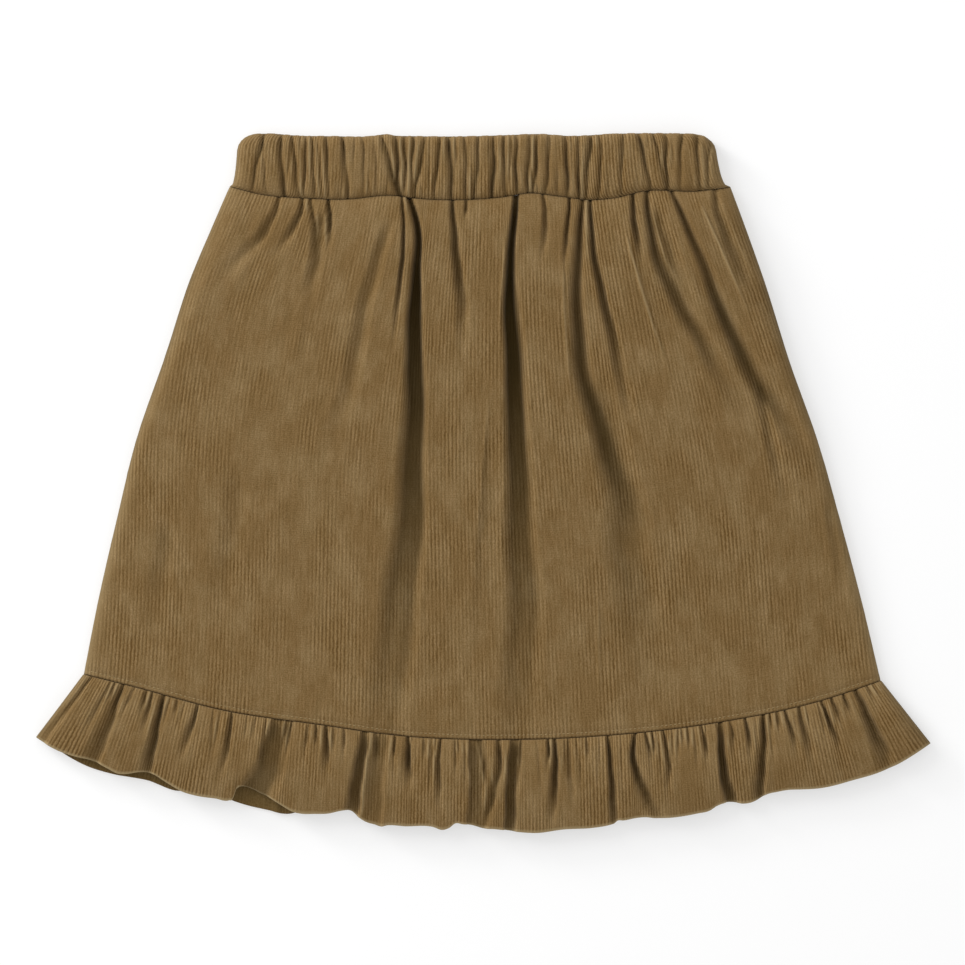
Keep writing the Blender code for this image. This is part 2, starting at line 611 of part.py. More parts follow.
def solid_between(name, upper, lower, material):
    """One closed solid between two surfaces with the same rows and columns of points."""
    rows, columns, _ = upper.shape
    shape = bmesh.new()
    top = [[shape.verts.new(point * MM) for point in row] for row in upper]
    low = [[shape.verts.new(point * MM) for point in row] for row in lower]
    for i in range(rows - 1):
        for j in range(columns - 1):
            shape.faces.new((top[i][j], top[i + 1][j], top[i + 1][j + 1], top[i][j + 1]))
            shape.faces.new((low[i][j], low[i][j + 1], low[i + 1][j + 1], low[i + 1][j]))
    for face in shape.faces:
        face.smooth = True
    for i in range(rows - 1):
        for j in (0, columns - 1):
            shape.faces.new((top[i][j], top[i + 1][j], low[i + 1][j], low[i][j]))
    for j in range(columns - 1):
        for i in (0, rows - 1):
            shape.faces.new((top[i][j], top[i][j + 1], low[i][j + 1], low[i][j]))
    bmesh.ops.recalc_face_normals(shape, faces=shape.faces)
    mesh = bpy.data.meshes.new(name)
    shape.to_mesh(mesh)
    shape.free()
    mesh.materials.append(material)
    piece = bpy.data.objects.new(name, mesh)
    bpy.context.collection.objects.link(piece)
    return piece


def cloth_material(name, colour, roughness):
    """Brushed cotton: no metal, hardly any gloss, and the soft sheen of a cut pile."""
    material = bpy.data.materials.new(name)
    material.use_nodes = True
    shader = material.node_tree.nodes["Principled BSDF"]
    shader.inputs["Base Color"].default_value = (*colour, 1)
    shader.inputs["Roughness"].default_value = roughness
    shader.inputs["Metallic"].default_value = 0.0
    shader.inputs["Sheen Weight"].default_value = 0.3
    return material


def grid(across, down):
    """Two arrays that give each point of a surface its place across and down."""
    return np.meshgrid(np.asarray(across, float), np.asarray(down, float))


# ---------------------------------------------------------------- panels
def make_panels(cloth):
    """The front and back panels, cut A-line and gathered along the top."""
    rows = 14
    down = (np.arange(rows) / (rows - 1)) ** 1.25
    half = smooth_line(SIDES, "drop", "left", 60.0)
    marks = [fold.line[1] / half for fold in FRONT_FOLDS if fold.deep > 2]
    across = crowded(92, marks, 0.045, 1.3)
    face, floor = front_panel_face(*grid(across, down))
    solid_between("front_panel", face, wall_behind(face, floor), cloth)

    down = np.array([0, 0.03, 0.1, 0.2, 0.32, 0.48, 1.0])
    marks = [fold.line[1] / half for fold in BACK_FOLDS]
    face = back_panel_face(*grid(crowded(52, marks, 0.06, 2.0), down))
    solid_between("back_panel", face, wall_behind(face, 0.0), cloth)


# ---------------------------------------------------------------- ruffles
def make_ruffles(cloth):
    """The gathered strips below the panels, joined at the side seams."""
    down = np.array([0, 0.08, 0.2, 0.4, 0.7, 1.0])
    marks = [fold.line[0] / RUFFLE_ENDS for fold in RUFFLE_FOLDS if fold.deep > 1.5]
    along = RUFFLE_ENDS * crowded(172, marks, 0.014, 1.0)
    face, floor = front_ruffle_face(*grid(along, down))
    solid_between("ruffle_front", face, wall_behind(face, floor), cloth)

    down = np.array([0, 0.15, 0.5, 1.0])
    along = RUFFLE_ENDS * crowded(100, [], 0.02, 1.0)
    face = back_ruffle_face(*grid(along, down))
    solid_between("ruffle_back", face, wall_behind(face, 0.0), cloth)


# ---------------------------------------------------------------- waistband
def band_place(across, down):
    """X and Y on the waistband, for across from -1 to 1 and down from its top edge to the seam."""
    seam_x = side_x(0.0 * down, across)
    bottom = smooth_line(WAIST_SEAM, "x", "y", seam_x) + SEAM_GAP / 2
    top = smooth_line(BAND_EDGE, "x", "y", seam_x)
    y = top + (bottom - top) * down
    narrowing = np.where(across < 0, 3.6, 7.0) * (1 - down) ** 0.35
    corner = np.clip(1 - (BAND_TOP - y) / BAND_CORNER, 0, 1)
    cut = BAND_CORNER_CUT * (1 - np.sqrt(1 - corner**2))
    return seam_x - narrowing * across - cut * across * np.abs(across) ** 6, y


def band_gather_depth(x, down, gathers, deepest):
    """Depth of the creases that the elastic draws into the band. They wander as they go."""
    depth = np.zeros(x.shape)
    for gather in gathers:
        line = gather.at + gather.slant * down
        line += 0.35 * np.sin(5 * down + gather.at) + 0.2 * np.sin(11 * down + 3 * gather.at)
        away = np.abs(x - line) / (1.2 + 0.45 * gather.deep)
        full = 0.8 + 0.2 * np.sin(4.3 * down + 2.1 * gather.at)
        depth += 1.2 * gather.deep * full * np.clip(1 - away, 0, 1) ** 2
    return np.minimum(depth, deepest)


def back_band_gathers():
    """The gathers across the back of the band, drawn up evenly by the same elastic."""
    spacing, count = 6.3, 32
    return [
        Gather(
            (i - (count - 1) / 2) * spacing + 1.5 * math.sin(2.1 * i),
            1.6 * math.sin(1.3 * i),
            1.0 + 0.4 * math.sin(2.9 * i),
        )
        for i in range(count)
    ]


def make_waistband(cloth):
    """The casing's front and back halves, with the elastic inside: a thick wall each."""
    down = np.array([0, 0.03, 0.1, 0.35, 0.7, 0.93, 1.0])
    crest = np.array([0.22, 0.62, 0.95, 1.0, 1.0, 0.92, 0.6])  # rounded top fold, sunk seam
    half = (SIDES[0].left + SIDES[0].right) / 2
    marks = [(gather.at + gather.slant / 2) / half for gather in BAND_GATHERS]
    across, downs = grid(crowded(120, marks, 0.012, 0.6), down)
    x, y = band_place(across, downs)
    inset = half - np.abs(across) * half
    roll = side_roll(inset, 5.0)
    full = BAND_WALL + 1.6 - band_gather_depth(x, downs, BAND_GATHERS, 3.6)
    upper = np.stack([x, y, BAND_FRONT_LOW + 0.4 + full * crest[:, None] * roll], axis=-1)
    lower = np.stack([x, y, np.full(x.shape, BAND_FRONT_LOW)], axis=-1)
    solid_between("waistband_front", upper, lower, cloth)

    across, downs = grid(crowded(72, [], 0.02, 1.0), down)
    x, y = band_place(across, downs)
    inset = half - np.abs(across) * half
    roll = side_roll(inset, 3.5)
    groove = band_gather_depth(x, downs, back_band_gathers(), 1.6)
    thick = (BAND_WALL - 0.4 - groove) * np.clip(crest * 1.15, 0, 1)[:, None] * roll
    upper = np.stack([x, y, np.full(x.shape, BAND_WALL)], axis=-1)
    lower = np.stack([x, y, BAND_WALL - 0.4 - thick], axis=-1)
    solid_between("waistband_back", upper, lower, cloth)


def clear_scene():
    for item in list(bpy.data.objects):
        bpy.data.objects.remove(item, do_unlink=True)


def build():
    clear_scene()
    cloth = cloth_material("needlecord", (0.2, 0.126, 0.053), 0.9)
    make_panels(cloth)
    make_ruffles(cloth)
    make_waistband(cloth)


build()
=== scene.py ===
"""A child's gathered needlecord skirt with a ruffled hem, laid flat with its front up."""

import math
from collections import namedtuple

import bmesh
import bpy
import numpy as np
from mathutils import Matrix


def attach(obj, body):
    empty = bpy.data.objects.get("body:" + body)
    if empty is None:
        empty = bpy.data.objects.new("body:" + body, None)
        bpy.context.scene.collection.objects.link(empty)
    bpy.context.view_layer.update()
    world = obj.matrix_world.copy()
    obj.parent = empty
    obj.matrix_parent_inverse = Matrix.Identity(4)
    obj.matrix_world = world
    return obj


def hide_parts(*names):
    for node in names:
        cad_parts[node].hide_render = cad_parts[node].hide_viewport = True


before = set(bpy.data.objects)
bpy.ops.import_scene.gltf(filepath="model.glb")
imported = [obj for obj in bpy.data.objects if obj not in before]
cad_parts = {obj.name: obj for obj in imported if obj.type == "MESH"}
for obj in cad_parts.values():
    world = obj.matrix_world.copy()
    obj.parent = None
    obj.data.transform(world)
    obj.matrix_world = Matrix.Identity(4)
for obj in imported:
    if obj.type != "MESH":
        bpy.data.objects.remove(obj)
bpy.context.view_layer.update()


# ================ back panel
# The back of the skirt: an A-line panel of cotton needlecord, cut with its wales lengthwise and
# gathered along the top. It lies right side down, flat but for the folds that its gathers leave.
MM = 0.001
WALE = 25.4 / 16  # from one wale to the next in a 16-wale cord
PER_WALE = 4  # columns of the mesh that draw each wale
WALE_PROFILE = np.array([1.0, 0.35, -1.0, 0.35])  # crest, flank, valley, flank
WALE_RELIEF = 0.075  # half the height from a valley to a crest
CLOTH = 1.2
SEAM_GAP = 0.3  # between layers
FOLD_ROOM = 0.55  # more air between the layers, away from the side seams
THINNEST = 0.8  # least height of a wall that lies on what is below it
STEEPEST_WALL = 3.2  # most height of a wall, in thicknesses, where its cloth stands steep
BAND_WALL = 3.05  # half of the waistband: two layers of cord with the elastic between
SIDE_LENGTH = 206.0  # from the waist seam's ends to the hem seam's
SEAM_LINE = 0.1  # half the width of the line between two pieces that are sewn together


def table(columns, *rows):
    """A table's rows, with columns that are read by name."""
    row = namedtuple("Row", columns)
    return [row(*values) for values in rows]


# How far the side edges lie to the left and right of the middle, for drops below the waist seam.
SIDES = table(
    "drop left right", (0, 107, 105), (14, 113.2, 110.2), (39, 123.8, 119.3), (72, 134.6, 129.8),
    (106, 146.4, 142), (140, 154.8, 151.8), (174, 162.6, 160.9), (206, 168.9, 168.6),
)
WAIST_SEAM = table(
    "x y", (-107, 125.2), (-94, 121.8), (-77, 120.3), (-58, 119.7), (-38, 121.3), (-29, 120.2),
    (7, 120.5), (20, 122.3), (33, 120.9), (45, 119.5), (57, 120.5), (67, 123), (92, 123.2),
    (105, 125),
)
HEM_SEAM = table(
    "x y", (-169, -81.2), (-150, -85.9), (-107, -97), (-70, -102.4), (-33, -107.4), (5, -108.9),
    (49, -107.4), (96, -102.2), (146, -91.6), (168.7, -83.9),
)
# A fold starts and ends at these drops below the seam and follows a line through evenly spaced
# places. wide is half its width, lean puts its bottom nearer one side (-1 left, 1 right), and flat
# widens the bottom. A fold with a depth below 0 is a ridge.
Fold = namedtuple("Fold", "start end line wide_start wide_end deep lean flat", defaults=(0, 0))
BACK_FOLDS = [Fold(*row) for row in (
    (0, 46, (-92, -98, -108), 2.4, 4.5, 1.8),
    (0, 88, (-70, -76, -88), 2.4, 6, 2.4, 0.3),
    (0, 52, (-49, -51, -54), 2.2, 4.5, 2),
    (0, 110, (-5, -5, -7), 2.4, 6.5, 2.6, -0.3),
    (0, 60, (26, 28, 31), 2.2, 5, 2.2),
    (0, 96, (57, 62, 70), 2.4, 6, 2.5, -0.3),
    (0, 44, (76, 80, 88), 2.2, 4.5, 1.8),
    (0, 30, (93, 97, 102), 2, 3.5, 1.6),
)]
FOLD_OPENS = 0.12  # share of its length over which a fold opens
FOLD_FADES = 0.4  # and the share from which it fades
LEAN_SHIFT = 0.6  # share of its half width that a fully leaning fold's bottom moves
KEENEST = 0.75  # how sharp a fold's bottom is where it starts
WANDER = 0.07  # share of its half width that a fold strays to each side


def bell(t):
    """1 in the middle, 0 at -1 and 1, smooth throughout."""
    return np.where(np.abs(t) < 1, 0.5 + 0.5 * np.cos(np.pi * np.clip(t, -1, 1)), 0.0)


def ease(t):
    """0 below 0, 1 above 1, smooth between."""
    t = np.clip(t, 0, 1)
    return t * t * (3 - 2 * t)


def smooth_line(rows, value, at):
    """A smooth line through one of a table's columns, read at places in its first one."""
    xs = np.array([row[0] for row in rows], float)
    ys = np.array([getattr(row, value) for row in rows], float)
    slopes = np.gradient(ys, xs)
    at = np.clip(at, xs[0], xs[-1])
    i = np.clip(np.searchsorted(xs, at) - 1, 0, len(xs) - 2)
    span = xs[i + 1] - xs[i]
    t = (at - xs[i]) / span
    bend = (1 - t) * slopes[i] - t * slopes[i + 1]
    return ys[i] + (ys[i + 1] - ys[i]) * ease(t) + span * t * (1 - t) * bend


def bent_line(places, along):
    """A smooth line through evenly spaced places, at shares of its length from 0 to 1."""
    shares = np.linspace(0, 1, len(places))
    line = np.zeros(along.shape)
    for i, place in enumerate(places):
        others = np.delete(shares, i)
        line += place * np.prod([(along - s) / (shares[i] - s) for s in others], axis=0)
    return line


def fold_strength(along, rooted):
    """How strong a fold is along its length; one rooted in a seam starts part way open."""
    opens = ease(along / FOLD_OPENS + (0.5 if rooted else 0.0))
    fades = 1 - ease((along - FOLD_FADES) / (1 - FOLD_FADES))
    return np.where(along < 0, opens if rooted else 0.0, opens) * fades


def fold_profile(across, lean, flat, keen):
    """A fold's section, 1 at its bottom and 0 at both sides. A keen one is sharp at the bottom."""
    bottom = LEAN_SHIFT * lean
    left, right = (1 + across) / (1 + bottom), (1 - across) / (1 - bottom)
    rise = np.clip(np.where(across < bottom, left, right), 0, 1)
    soft = ease(rise * (1 + flat))
    return soft + (rise**2 - soft) * keen


def fold_dips(folds, x, drop):
    """Depth of all folds at (x, drop). They are keen where they start, soften and wander."""
    dip = np.zeros(x.shape)
    for fold in folds:
        along = (drop - fold.start) / (fold.end - fold.start)
        inside = np.clip(along, 0, 1)
        wide = fold.wide_start + (fold.wide_end - fold.wide_start) * inside
        at = fold.line[0]
        wander = WANDER * wide * (np.sin(13 * inside + at) + np.sin(29 * inside + 2.3 * at))
        line = bent_line(fold.line, inside) + wander
        keen = KEENEST * (1 - ease(inside / FOLD_FADES)) * (fold.start == 0) * (fold.flat == 0)
        profile = fold_profile((x - line) / wide, fold.lean, fold.flat, keen)
        dip += fold.deep * fold_strength(along, fold.start == 0) * profile
    return dip


def side_x(drop, across):
    """X on the body at a drop of the side seams, for across from -1 (left) to 1 (right)."""
    left = smooth_line(SIDES, "left", drop)
    right = smooth_line(SIDES, "right", drop)
    return (right - left) / 2 + across * (right + left) / 2


def panel_place(across, down):
    """X, Y, and the drop below the waist seam, of a place on a panel; down is 0 at the waist."""
    x = side_x(down * SIDE_LENGTH, across)
    waist_x, hem_x = side_x(0.0 * down, across), side_x(0.0 * down + SIDE_LENGTH, across)
    waist = smooth_line(WAIST_SEAM, "y", waist_x) - SEAM_LINE
    hem = smooth_line(HEM_SEAM, "y", hem_x) + SEAM_LINE
    return x, waist + (hem - waist) * down, (waist - hem) * down


def panel_inset(x, down):
    """How far a place on a panel lies in from the nearer side edge."""
    left, right = (side_x(down * SIDE_LENGTH, side) for side in (-1.0, 1.0))
    return np.minimum(x - left, right - x)


def side_lift(inset, drop):
    """How far the side seams rise to the thicker band's: over the last 45 mm, and 16 mm in."""
    return (BAND_WALL - CLOTH) * (1 - ease(drop / 45)) * (1 - ease(inset / 16))


def back_panel_height(x, drop, inset):
    """Height of the back panel's upper face: flat but for its folds, which die away over the last
    12 mm before its sides."""
    rise = fold_dips(BACK_FOLDS, x, drop)
    return CLOTH + rise * ease(inset / 12) + side_lift(inset, drop)


def back_panel_face(across, down):
    """The back panel's upper face, which the front lies on, and the surface under it."""
    x, y, drop = panel_place(across, down)
    face = np.stack([x, y, back_panel_height(x, drop, panel_inset(x, down))], axis=-1)
    return face, 0.0 * x


def normals_of(face):
    """The direction square to a surface at each of its points, pointing up."""
    normal = np.cross(np.gradient(face, axis=1), np.gradient(face, axis=0))
    length = np.linalg.norm(normal, axis=2, keepdims=True)
    normal = np.where(length > 1e-9, normal / np.maximum(length, 1e-9), [0.0, 0.0, 1.0])
    return normal * np.where(normal[..., 2:] < 0, -1, 1)


def wall_behind(face, floor):
    """The other face of a cloth wall: one thickness behind, but never below its floor."""
    flatness = normals_of(face)[..., 2]
    depth = CLOTH / np.clip(flatness, 1 / STEEPEST_WALL, 1)
    height = np.minimum(np.maximum(face[..., 2] - depth, floor), face[..., 2] - THINNEST)
    return np.dstack([face[..., :2], height])


def wales_across(face_of, rows, settle, cut_width=None):
    """Where each wale's columns cross each row. The cloth of a fold takes up wales, and they run
    on past it, over a share `settle` of the piece's length. A straight strip has the same wales in
    each row, so its cut width is given. Returns the columns' places in the cloth and across each
    row, and each row's ends."""
    fine = np.linspace(-1, 1, 4801)
    middle = len(fine) // 2
    taken = []
    for down in rows:
        face, _ = face_of(fine[None, :], np.full((1, len(fine)), down))
        taken.append(np.linalg.norm(np.diff(face[0], axis=0), axis=1))
    near = np.exp(-(((rows[:, None] - rows[None, :]) / settle) ** 2)) * np.gradient(rows)[None, :]
    taken = (near / near.sum(axis=1, keepdims=True)) @ np.array(taken)
    lines = np.concatenate([np.zeros((len(rows), 1)), np.cumsum(taken, axis=1)], axis=1)
    if cut_width:
        lines *= cut_width / lines[:, -1:]
    lines -= lines[:, middle : middle + 1]
    step = WALE / PER_WALE
    first = math.ceil(lines[:, 0].min() / step) - 1
    last = math.floor(lines[:, -1].max() / step) + 1
    columns = np.arange(first, last + 1) * step
    across = np.array([np.interp(columns, line, fine) for line in lines])
    return columns, across, lines[:, [0, -1]]


def grid_faces(inside, first_vertex, flip):
    """Faces of a grid of points whose rows end where `inside` does. Beyond it, a row's points
    are one point on its edge. Returns the faces, the points' numbers and the points used."""
    rows, columns = inside.shape
    number = np.arange(rows * columns).reshape(rows, columns)
    for i in range(rows):
        held = np.flatnonzero(inside[i])
        low, high = max(held[0] - 1, 0), min(held[-1] + 1, columns - 1)
        number[i, :low] = number[i, low]
        number[i, high:] = number[i, high]
    used = np.unique(number)
    new = np.full(rows * columns, -1)
    new[used] = np.arange(len(used)) + first_vertex
    number = new[number]
    top, low = number[:-1], number[1:]
    corners = np.stack([top[:, :-1], low[:, :-1], low[:, 1:], top[:, 1:]], axis=-1).reshape(-1, 4)
    if flip:
        corners = corners[:, ::-1]
    faces = [[v for i, v in enumerate(face) if v != face[i - 1]] for face in corners.tolist()]
    return [face for face in faces if len(face) >= 3], number, used


def border(number):
    """The grid's four edges, as lists of points with repeats left out."""
    edges = (number[0], number[-1], number[:, 0], number[:, -1])
    return [edge[np.append(True, edge[1:] != edge[:-1])].tolist() for edge in edges]


def strip_between(line_a, line_b, places, flip):
    """Triangles that join two edges with different numbers of points, side by side."""
    steps = []
    for line in (line_a, line_b):
        total = np.cumsum(np.linalg.norm(np.diff(places[line, :2], axis=0), axis=1))
        steps += [(share, line is line_b) for share in total / max(total[-1], 1e-9)]
    i = j = 0
    faces = []
    for _, along_b in sorted(steps):
        if along_b:
            face = [line_a[i], line_b[j + 1], line_b[j]]
            j += 1
        else:
            face = [line_a[i], line_a[i + 1], line_b[j]]
            i += 1
        faces.append(face[::-1] if flip else face)
    return faces


PATCHES = 97  # in each direction, after which they repeat


def uneven(u, v, wide, long, seed):
    """Random values from -1 to 1 that run smoothly over the cloth, for a place (u, v) in it and
    the size of a patch, in mm."""
    patches = np.random.default_rng(seed).uniform(-1, 1, (PATCHES, PATCHES))
    across, down = u / wide, v / long
    i, j = np.floor(across).astype(int), np.floor(down).astype(int)
    s, t = ease(across - i), ease(down - j)
    i, j, next_i, next_j = (k % PATCHES for k in (i, j, i + 1, j + 1))
    near = patches[i, j] * (1 - s) + patches[next_i, j] * s
    far = patches[i, next_j] * (1 - s) + patches[next_i, next_j] * s
    return near * (1 - t) + far * t


# How tall the pile stands, as a share of a full wale's: as a rule, at least and at most.
PILE_USUAL, PILE_LEAST, PILE_MOST = 0.74, 0.1, 1.35
STRIP_PILE = 1.25  # how much taller it stands on a gathered strip, which nothing presses
BRUSHED = 0.42  # how much lower it stands in the middle of the large smooth place
SMOOTH_U, SMOOTH_V = -88, 72  # that middle, and half the place's width and length
SMOOTH_WIDE, SMOOTH_LONG = 42, 75


def pile_height(u, v):
    """How tall the pile stands at a place in the cloth. It is brushed nearly flat in some places,
    the largest at the upper left, and stands in clear wales in others."""
    tall = PILE_USUAL + 0.52 * uneven(u, v, 11, 21, 1) + 0.33 * uneven(u, v, 5, 9, 2)
    away = ((u - SMOOTH_U) / SMOOTH_WIDE) ** 2 + ((v - SMOOTH_V) / SMOOTH_LONG) ** 2
    return np.clip(tall - BRUSHED * np.exp(-away), PILE_LEAST, PILE_MOST)


# Folds and ridges are measured here to set where shade and highlight are painted into the cloth's
# colour.
LOOK_STEP = 0.25  # between the places in a row where folds are looked for
FOLD_REACH, FOLD_BLUR = 28, 6  # steps to a fold's tops on each side, and to even them out over
RIDGE_REACH = 5  # steps to a ridge's feet
FULL_FOLD, FULL_FOLD_LEAST = 0.7, 3.0  # depth of a full fold: share of the height, at least in mm
RIDGE_SEEN, RIDGE_FULL = 0.1, 0.7  # height over its feet where a ridge is first seen and is full


def folds_seen(face):
    """Two numbers from 0 to 1 at each point: how far it lies below the cloth to its left and right,
    and how far above what is close by on both sides, as on a narrow ridge."""
    depth, edge = np.zeros(face.shape[:2]), np.zeros(face.shape[:2])
    windows = np.lib.stride_tricks.sliding_window_view
    blur = np.ones(2 * FOLD_BLUR + 1) / (2 * FOLD_BLUR + 1)
    for i, (x, z) in enumerate(zip(face[..., 0], face[..., 2])):
        even = np.arange(x[0], x[-1] + LOOK_STEP, LOOK_STEP)
        height = np.interp(even, x, z)
        tops = windows(np.pad(height, FOLD_REACH, mode="edge"), 2 * FOLD_REACH + 1).max(axis=1)
        tops = np.convolve(np.pad(tops, FOLD_BLUR, mode="edge"), blur, mode="valid")
        feet = windows(np.pad(height, RIDGE_REACH, mode="edge"), RIDGE_REACH + 1).min(axis=1)
        ridge = height - np.maximum(feet[: len(even)], feet[RIDGE_REACH:])
        fold = (tops - height) / np.maximum(FULL_FOLD * tops, FULL_FOLD_LEAST)
        depth[i] = np.interp(x, even, np.clip(fold, 0, 1))
        seen = (ridge - RIDGE_SEEN) / (RIDGE_FULL - RIDGE_SEEN)
        edge[i] = np.interp(x, even, np.clip(seen, 0, 1))
    return depth, edge


EDGE_WALES = 0.3  # how much of a wale is left along a sewn or cut edge
RIDGE_HIGHLIGHT_AND_WEAR = 0.55  # how pale a narrow ridge is painted: a painted highlight, with some wear
SIDE_PAINTED_LIGHT = 0.9  # how much light is painted where it turns round a side, and how far in, in mm
SIDE_PAINTED_LIGHT_WIDE = 2.4
# Where a piece's sides and the lines of its edge strips lie in its flat picture, which is 1 by 1.
PICTURE_MARGIN, RIGHT_SIDE_SIZE, WRONG_SIDE_SIZE = 0.004, (0.992, 0.62), (0.992, 0.31)
WRONG_SIDE_LOW, RIM_LOW, RIM_LINE, RIM_LINES = 0.64, 0.962, 0.012, 3


def add_object(name, data):
    """An object in the scene, made of its mesh, light or camera."""
    made = bpy.data.objects.new(name, data)
    bpy.context.collection.objects.link(made)
    return made


def cord_piece(
    name, face_of, rows, settle=3.0, cut_width=None, right_side_up=True, filled=False,
    round_ends=(0, 0), hem_wear_and_highlight=0.0, painted_shade_strength=1.0,
):
    """A piece of needlecord as a thin closed shell, with every wale on its right side. A filled
    piece reaches down to its floor, and any other is one cloth thick. round_ends lowers the right
    side's first and last rows by so many mm. The last two arguments say how pale the last two rows
    are painted, for wear and a painted highlight, and how dark the shade painted into its folds is."""
    columns, across, ends = wales_across(face_of, rows, settle, cut_width)
    downs = np.repeat(rows[:, None], len(columns), axis=1)
    face, floor = face_of(across, downs)
    behind = np.dstack([face[..., :2], floor]) if filled else wall_behind(face, floor)
    inside = (columns > ends[:, :1]) & (columns < ends[:, 1:])

    # The right side carries the wales, which fade out at its sewn and cut edges.
    fade = np.ones(len(rows))
    fade[[0, -1]] = EDGE_WALES
    wales = WALE_PROFILE[np.round(columns / (WALE / PER_WALE)).astype(int) % PER_WALE]
    along = np.linalg.norm(np.diff(face[:, len(columns) // 2], axis=0), axis=1)
    cloth_v = np.repeat(np.append(0, np.cumsum(along))[:, None], len(columns), axis=1)
    cloth_u = np.clip(np.broadcast_to(columns, across.shape), ends[:, :1], ends[:, 1:])
    pile = pile_height(cloth_u, cloth_v) * (STRIP_PILE if cut_width else 1.0)
    relief = WALE_RELIEF * wales * fade[:, None] * inside * pile
    if right_side_up:
        right = face + normals_of(face) * relief[..., None]
        right[0, :, 2] -= round_ends[0]
        right[-1, :, 2] -= round_ends[1]
        wrong = behind
    else:
        right = np.array(behind)
        right[..., 2] += PILE_MOST * WALE_RELIEF - relief
        wrong = face

    # The wrong side needs only a column for each wale and every other row.
    some_rows = np.unique(np.append(np.arange(0, len(rows), 2), len(rows) - 1))
    some = np.ix_(some_rows, np.arange(0, len(columns), PER_WALE))

    right_faces, right_number, right_used = grid_faces(inside, 0, not right_side_up)
    wrong_faces, wrong_number, wrong_used = grid_faces(inside[some], len(right_used), right_side_up)

    def used(right_grid, wrong_grid):
        """The values of the points that are used, from a grid of them for each side."""
        size = right_grid.shape[2:]
        on_right = right_grid.reshape(-1, *size)[right_used]
        return np.concatenate([on_right, wrong_grid[some].reshape(-1, *size)[wrong_used]])

    points = used(right, wrong)
    cloth = np.stack([cloth_u, cloth_v], axis=-1)
    cloth = used(cloth, cloth)

    rim_faces = []
    turned = (False, True, True, False)
    for right_line, wrong_line, turn in zip(border(right_number), border(wrong_number), turned):
        rim_faces += strip_between(right_line, wrong_line, points, turn == right_side_up)

    faces = right_faces + wrong_faces + rim_faces
    mesh = bpy.data.meshes.new(name)
    mesh.from_pydata((points * MM).tolist(), [], faces)
    mesh.update()

    # The map in the cloth's own millimetres, and one for a flat picture of the piece: right side
    # below, wrong side above it, and the edge strips along the top.
    corner = np.zeros(len(mesh.loops), dtype=int)
    mesh.loops.foreach_get("vertex_index", corner)
    cloth_map = mesh.uv_layers.new(name="cloth")
    cloth_map.data.foreach_set("uv", (cloth[corner] * MM).ravel())

    side = np.repeat([0, 1, 2], [len(right_faces), len(wrong_faces), len(rim_faces)])
    loop_side = np.repeat(side, [len(face) for face in faces])
    low, high = cloth.min(axis=0), cloth.max(axis=0)
    flat = (cloth[corner] - low) / (high - low)
    picture = PICTURE_MARGIN + flat * RIGHT_SIDE_SIZE
    on_wrong = loop_side == 1
    picture[on_wrong] = PICTURE_MARGIN + flat[on_wrong] * WRONG_SIDE_SIZE + [0, WRONG_SIDE_LOW]
    rim_index = np.arange(len(rim_faces))
    per_row = math.ceil(len(rim_faces) / RIM_LINES)
    rim_low = RIM_LOW + RIM_LINE * (rim_index // per_row)
    cell = np.stack([(rim_index % per_row) / per_row, rim_low], axis=-1)
    corner_of_cell = np.array([[0, 0], [0.8 / per_row, 0], [0, 0.75 * RIM_LINE]])
    picture[loop_side == 2] = (cell[:, None] + corner_of_cell[None]).reshape(-1, 2)
    bake_map = mesh.uv_layers.new(name="OFBake")
    bake_map.data.foreach_set("uv", picture.ravel())

    mesh.polygons.foreach_set("use_smooth", side < 2)
    mesh.polygons.foreach_set("material_index", (side == 1).astype(int))
    # How deep in a fold each point lies, for shade painted into its colour, how pale it is painted,
    # and how tall its pile stands, for the material. Narrow ridges get a painted highlight with some
    # wear, a turned hem wear and a painted highlight, and the folded sides painted light.
    depth, edge = folds_seen(face if right_side_up else behind * [1, 1, -1])
    from_side = np.minimum(cloth_u - ends[:, :1], ends[:, 1:] - cloth_u)
    side_painted_light = SIDE_PAINTED_LIGHT * np.exp(-from_side / SIDE_PAINTED_LIGHT_WIDE)
    depth, edge = painted_shade_strength * depth, np.maximum(RIDGE_HIGHLIGHT_AND_WEAR * edge, side_painted_light)
    edge[-2:] = np.maximum(edge[-2:], hem_wear_and_highlight)
    for kind, values in (("painted_fold_shade", depth), ("highlight_and_wear", edge), ("pile", pile)):
        attribute = mesh.attributes.new(kind, "FLOAT", "POINT")
        attribute.data.foreach_set("value", used(values, values))

    mesh.materials.append(needlecord)
    mesh.materials.append(wrong_side_cloth)
    mesh.update()
    return add_object(name, mesh)


def srgb(hex_colour):
    """A colour written as sRGB hex, as the linear values that the shader takes."""
    parts = [int(hex_colour[i : i + 2], 16) / 255 for i in (1, 3, 5)]
    linear = [c / 12.92 if c <= 0.04045 else ((c + 0.055) / 1.055) ** 2.4 for c in parts]
    return (*linear, 1.0)


def add_node(material, kind, settings):
    """Adds a node to a material. settings are its own properties and what goes in its sockets: a
    value or another node's output."""
    tree = material.node_tree
    node = tree.nodes.new("ShaderNode" + kind)
    for key, value in settings.items():
        if isinstance(value, bpy.types.NodeSocket):
            tree.links.new(value, node.inputs[key])
        elif isinstance(key, int) or key in node.inputs:
            node.inputs[key].default_value = value
        else:
            setattr(node, key, value)
    return node


def new_material(name, inputs):
    """A material, and its shader with these values in its sockets."""
    material = bpy.data.materials.new(name)
    material.use_nodes = True
    shader = material.node_tree.nodes["Principled BSDF"]
    for key, value in inputs.items():
        shader.inputs[key].default_value = value
    return material, shader


WALE_WAVER = 0.9  # how far a wale's line strays in all
WEFT_PICK = 0.95  # from one to the next of the fine lines across the wales
BETWEEN = 0.55  # the colour from valley (0) to crest (1) where no wale shows
HIGHLIGHT_AND_WEAR_MOST, PAINTED_SHADE_MOST = 0.8, 0.95  # most of the pale colour for painted highlight and wear, and of the painted shade, that shows
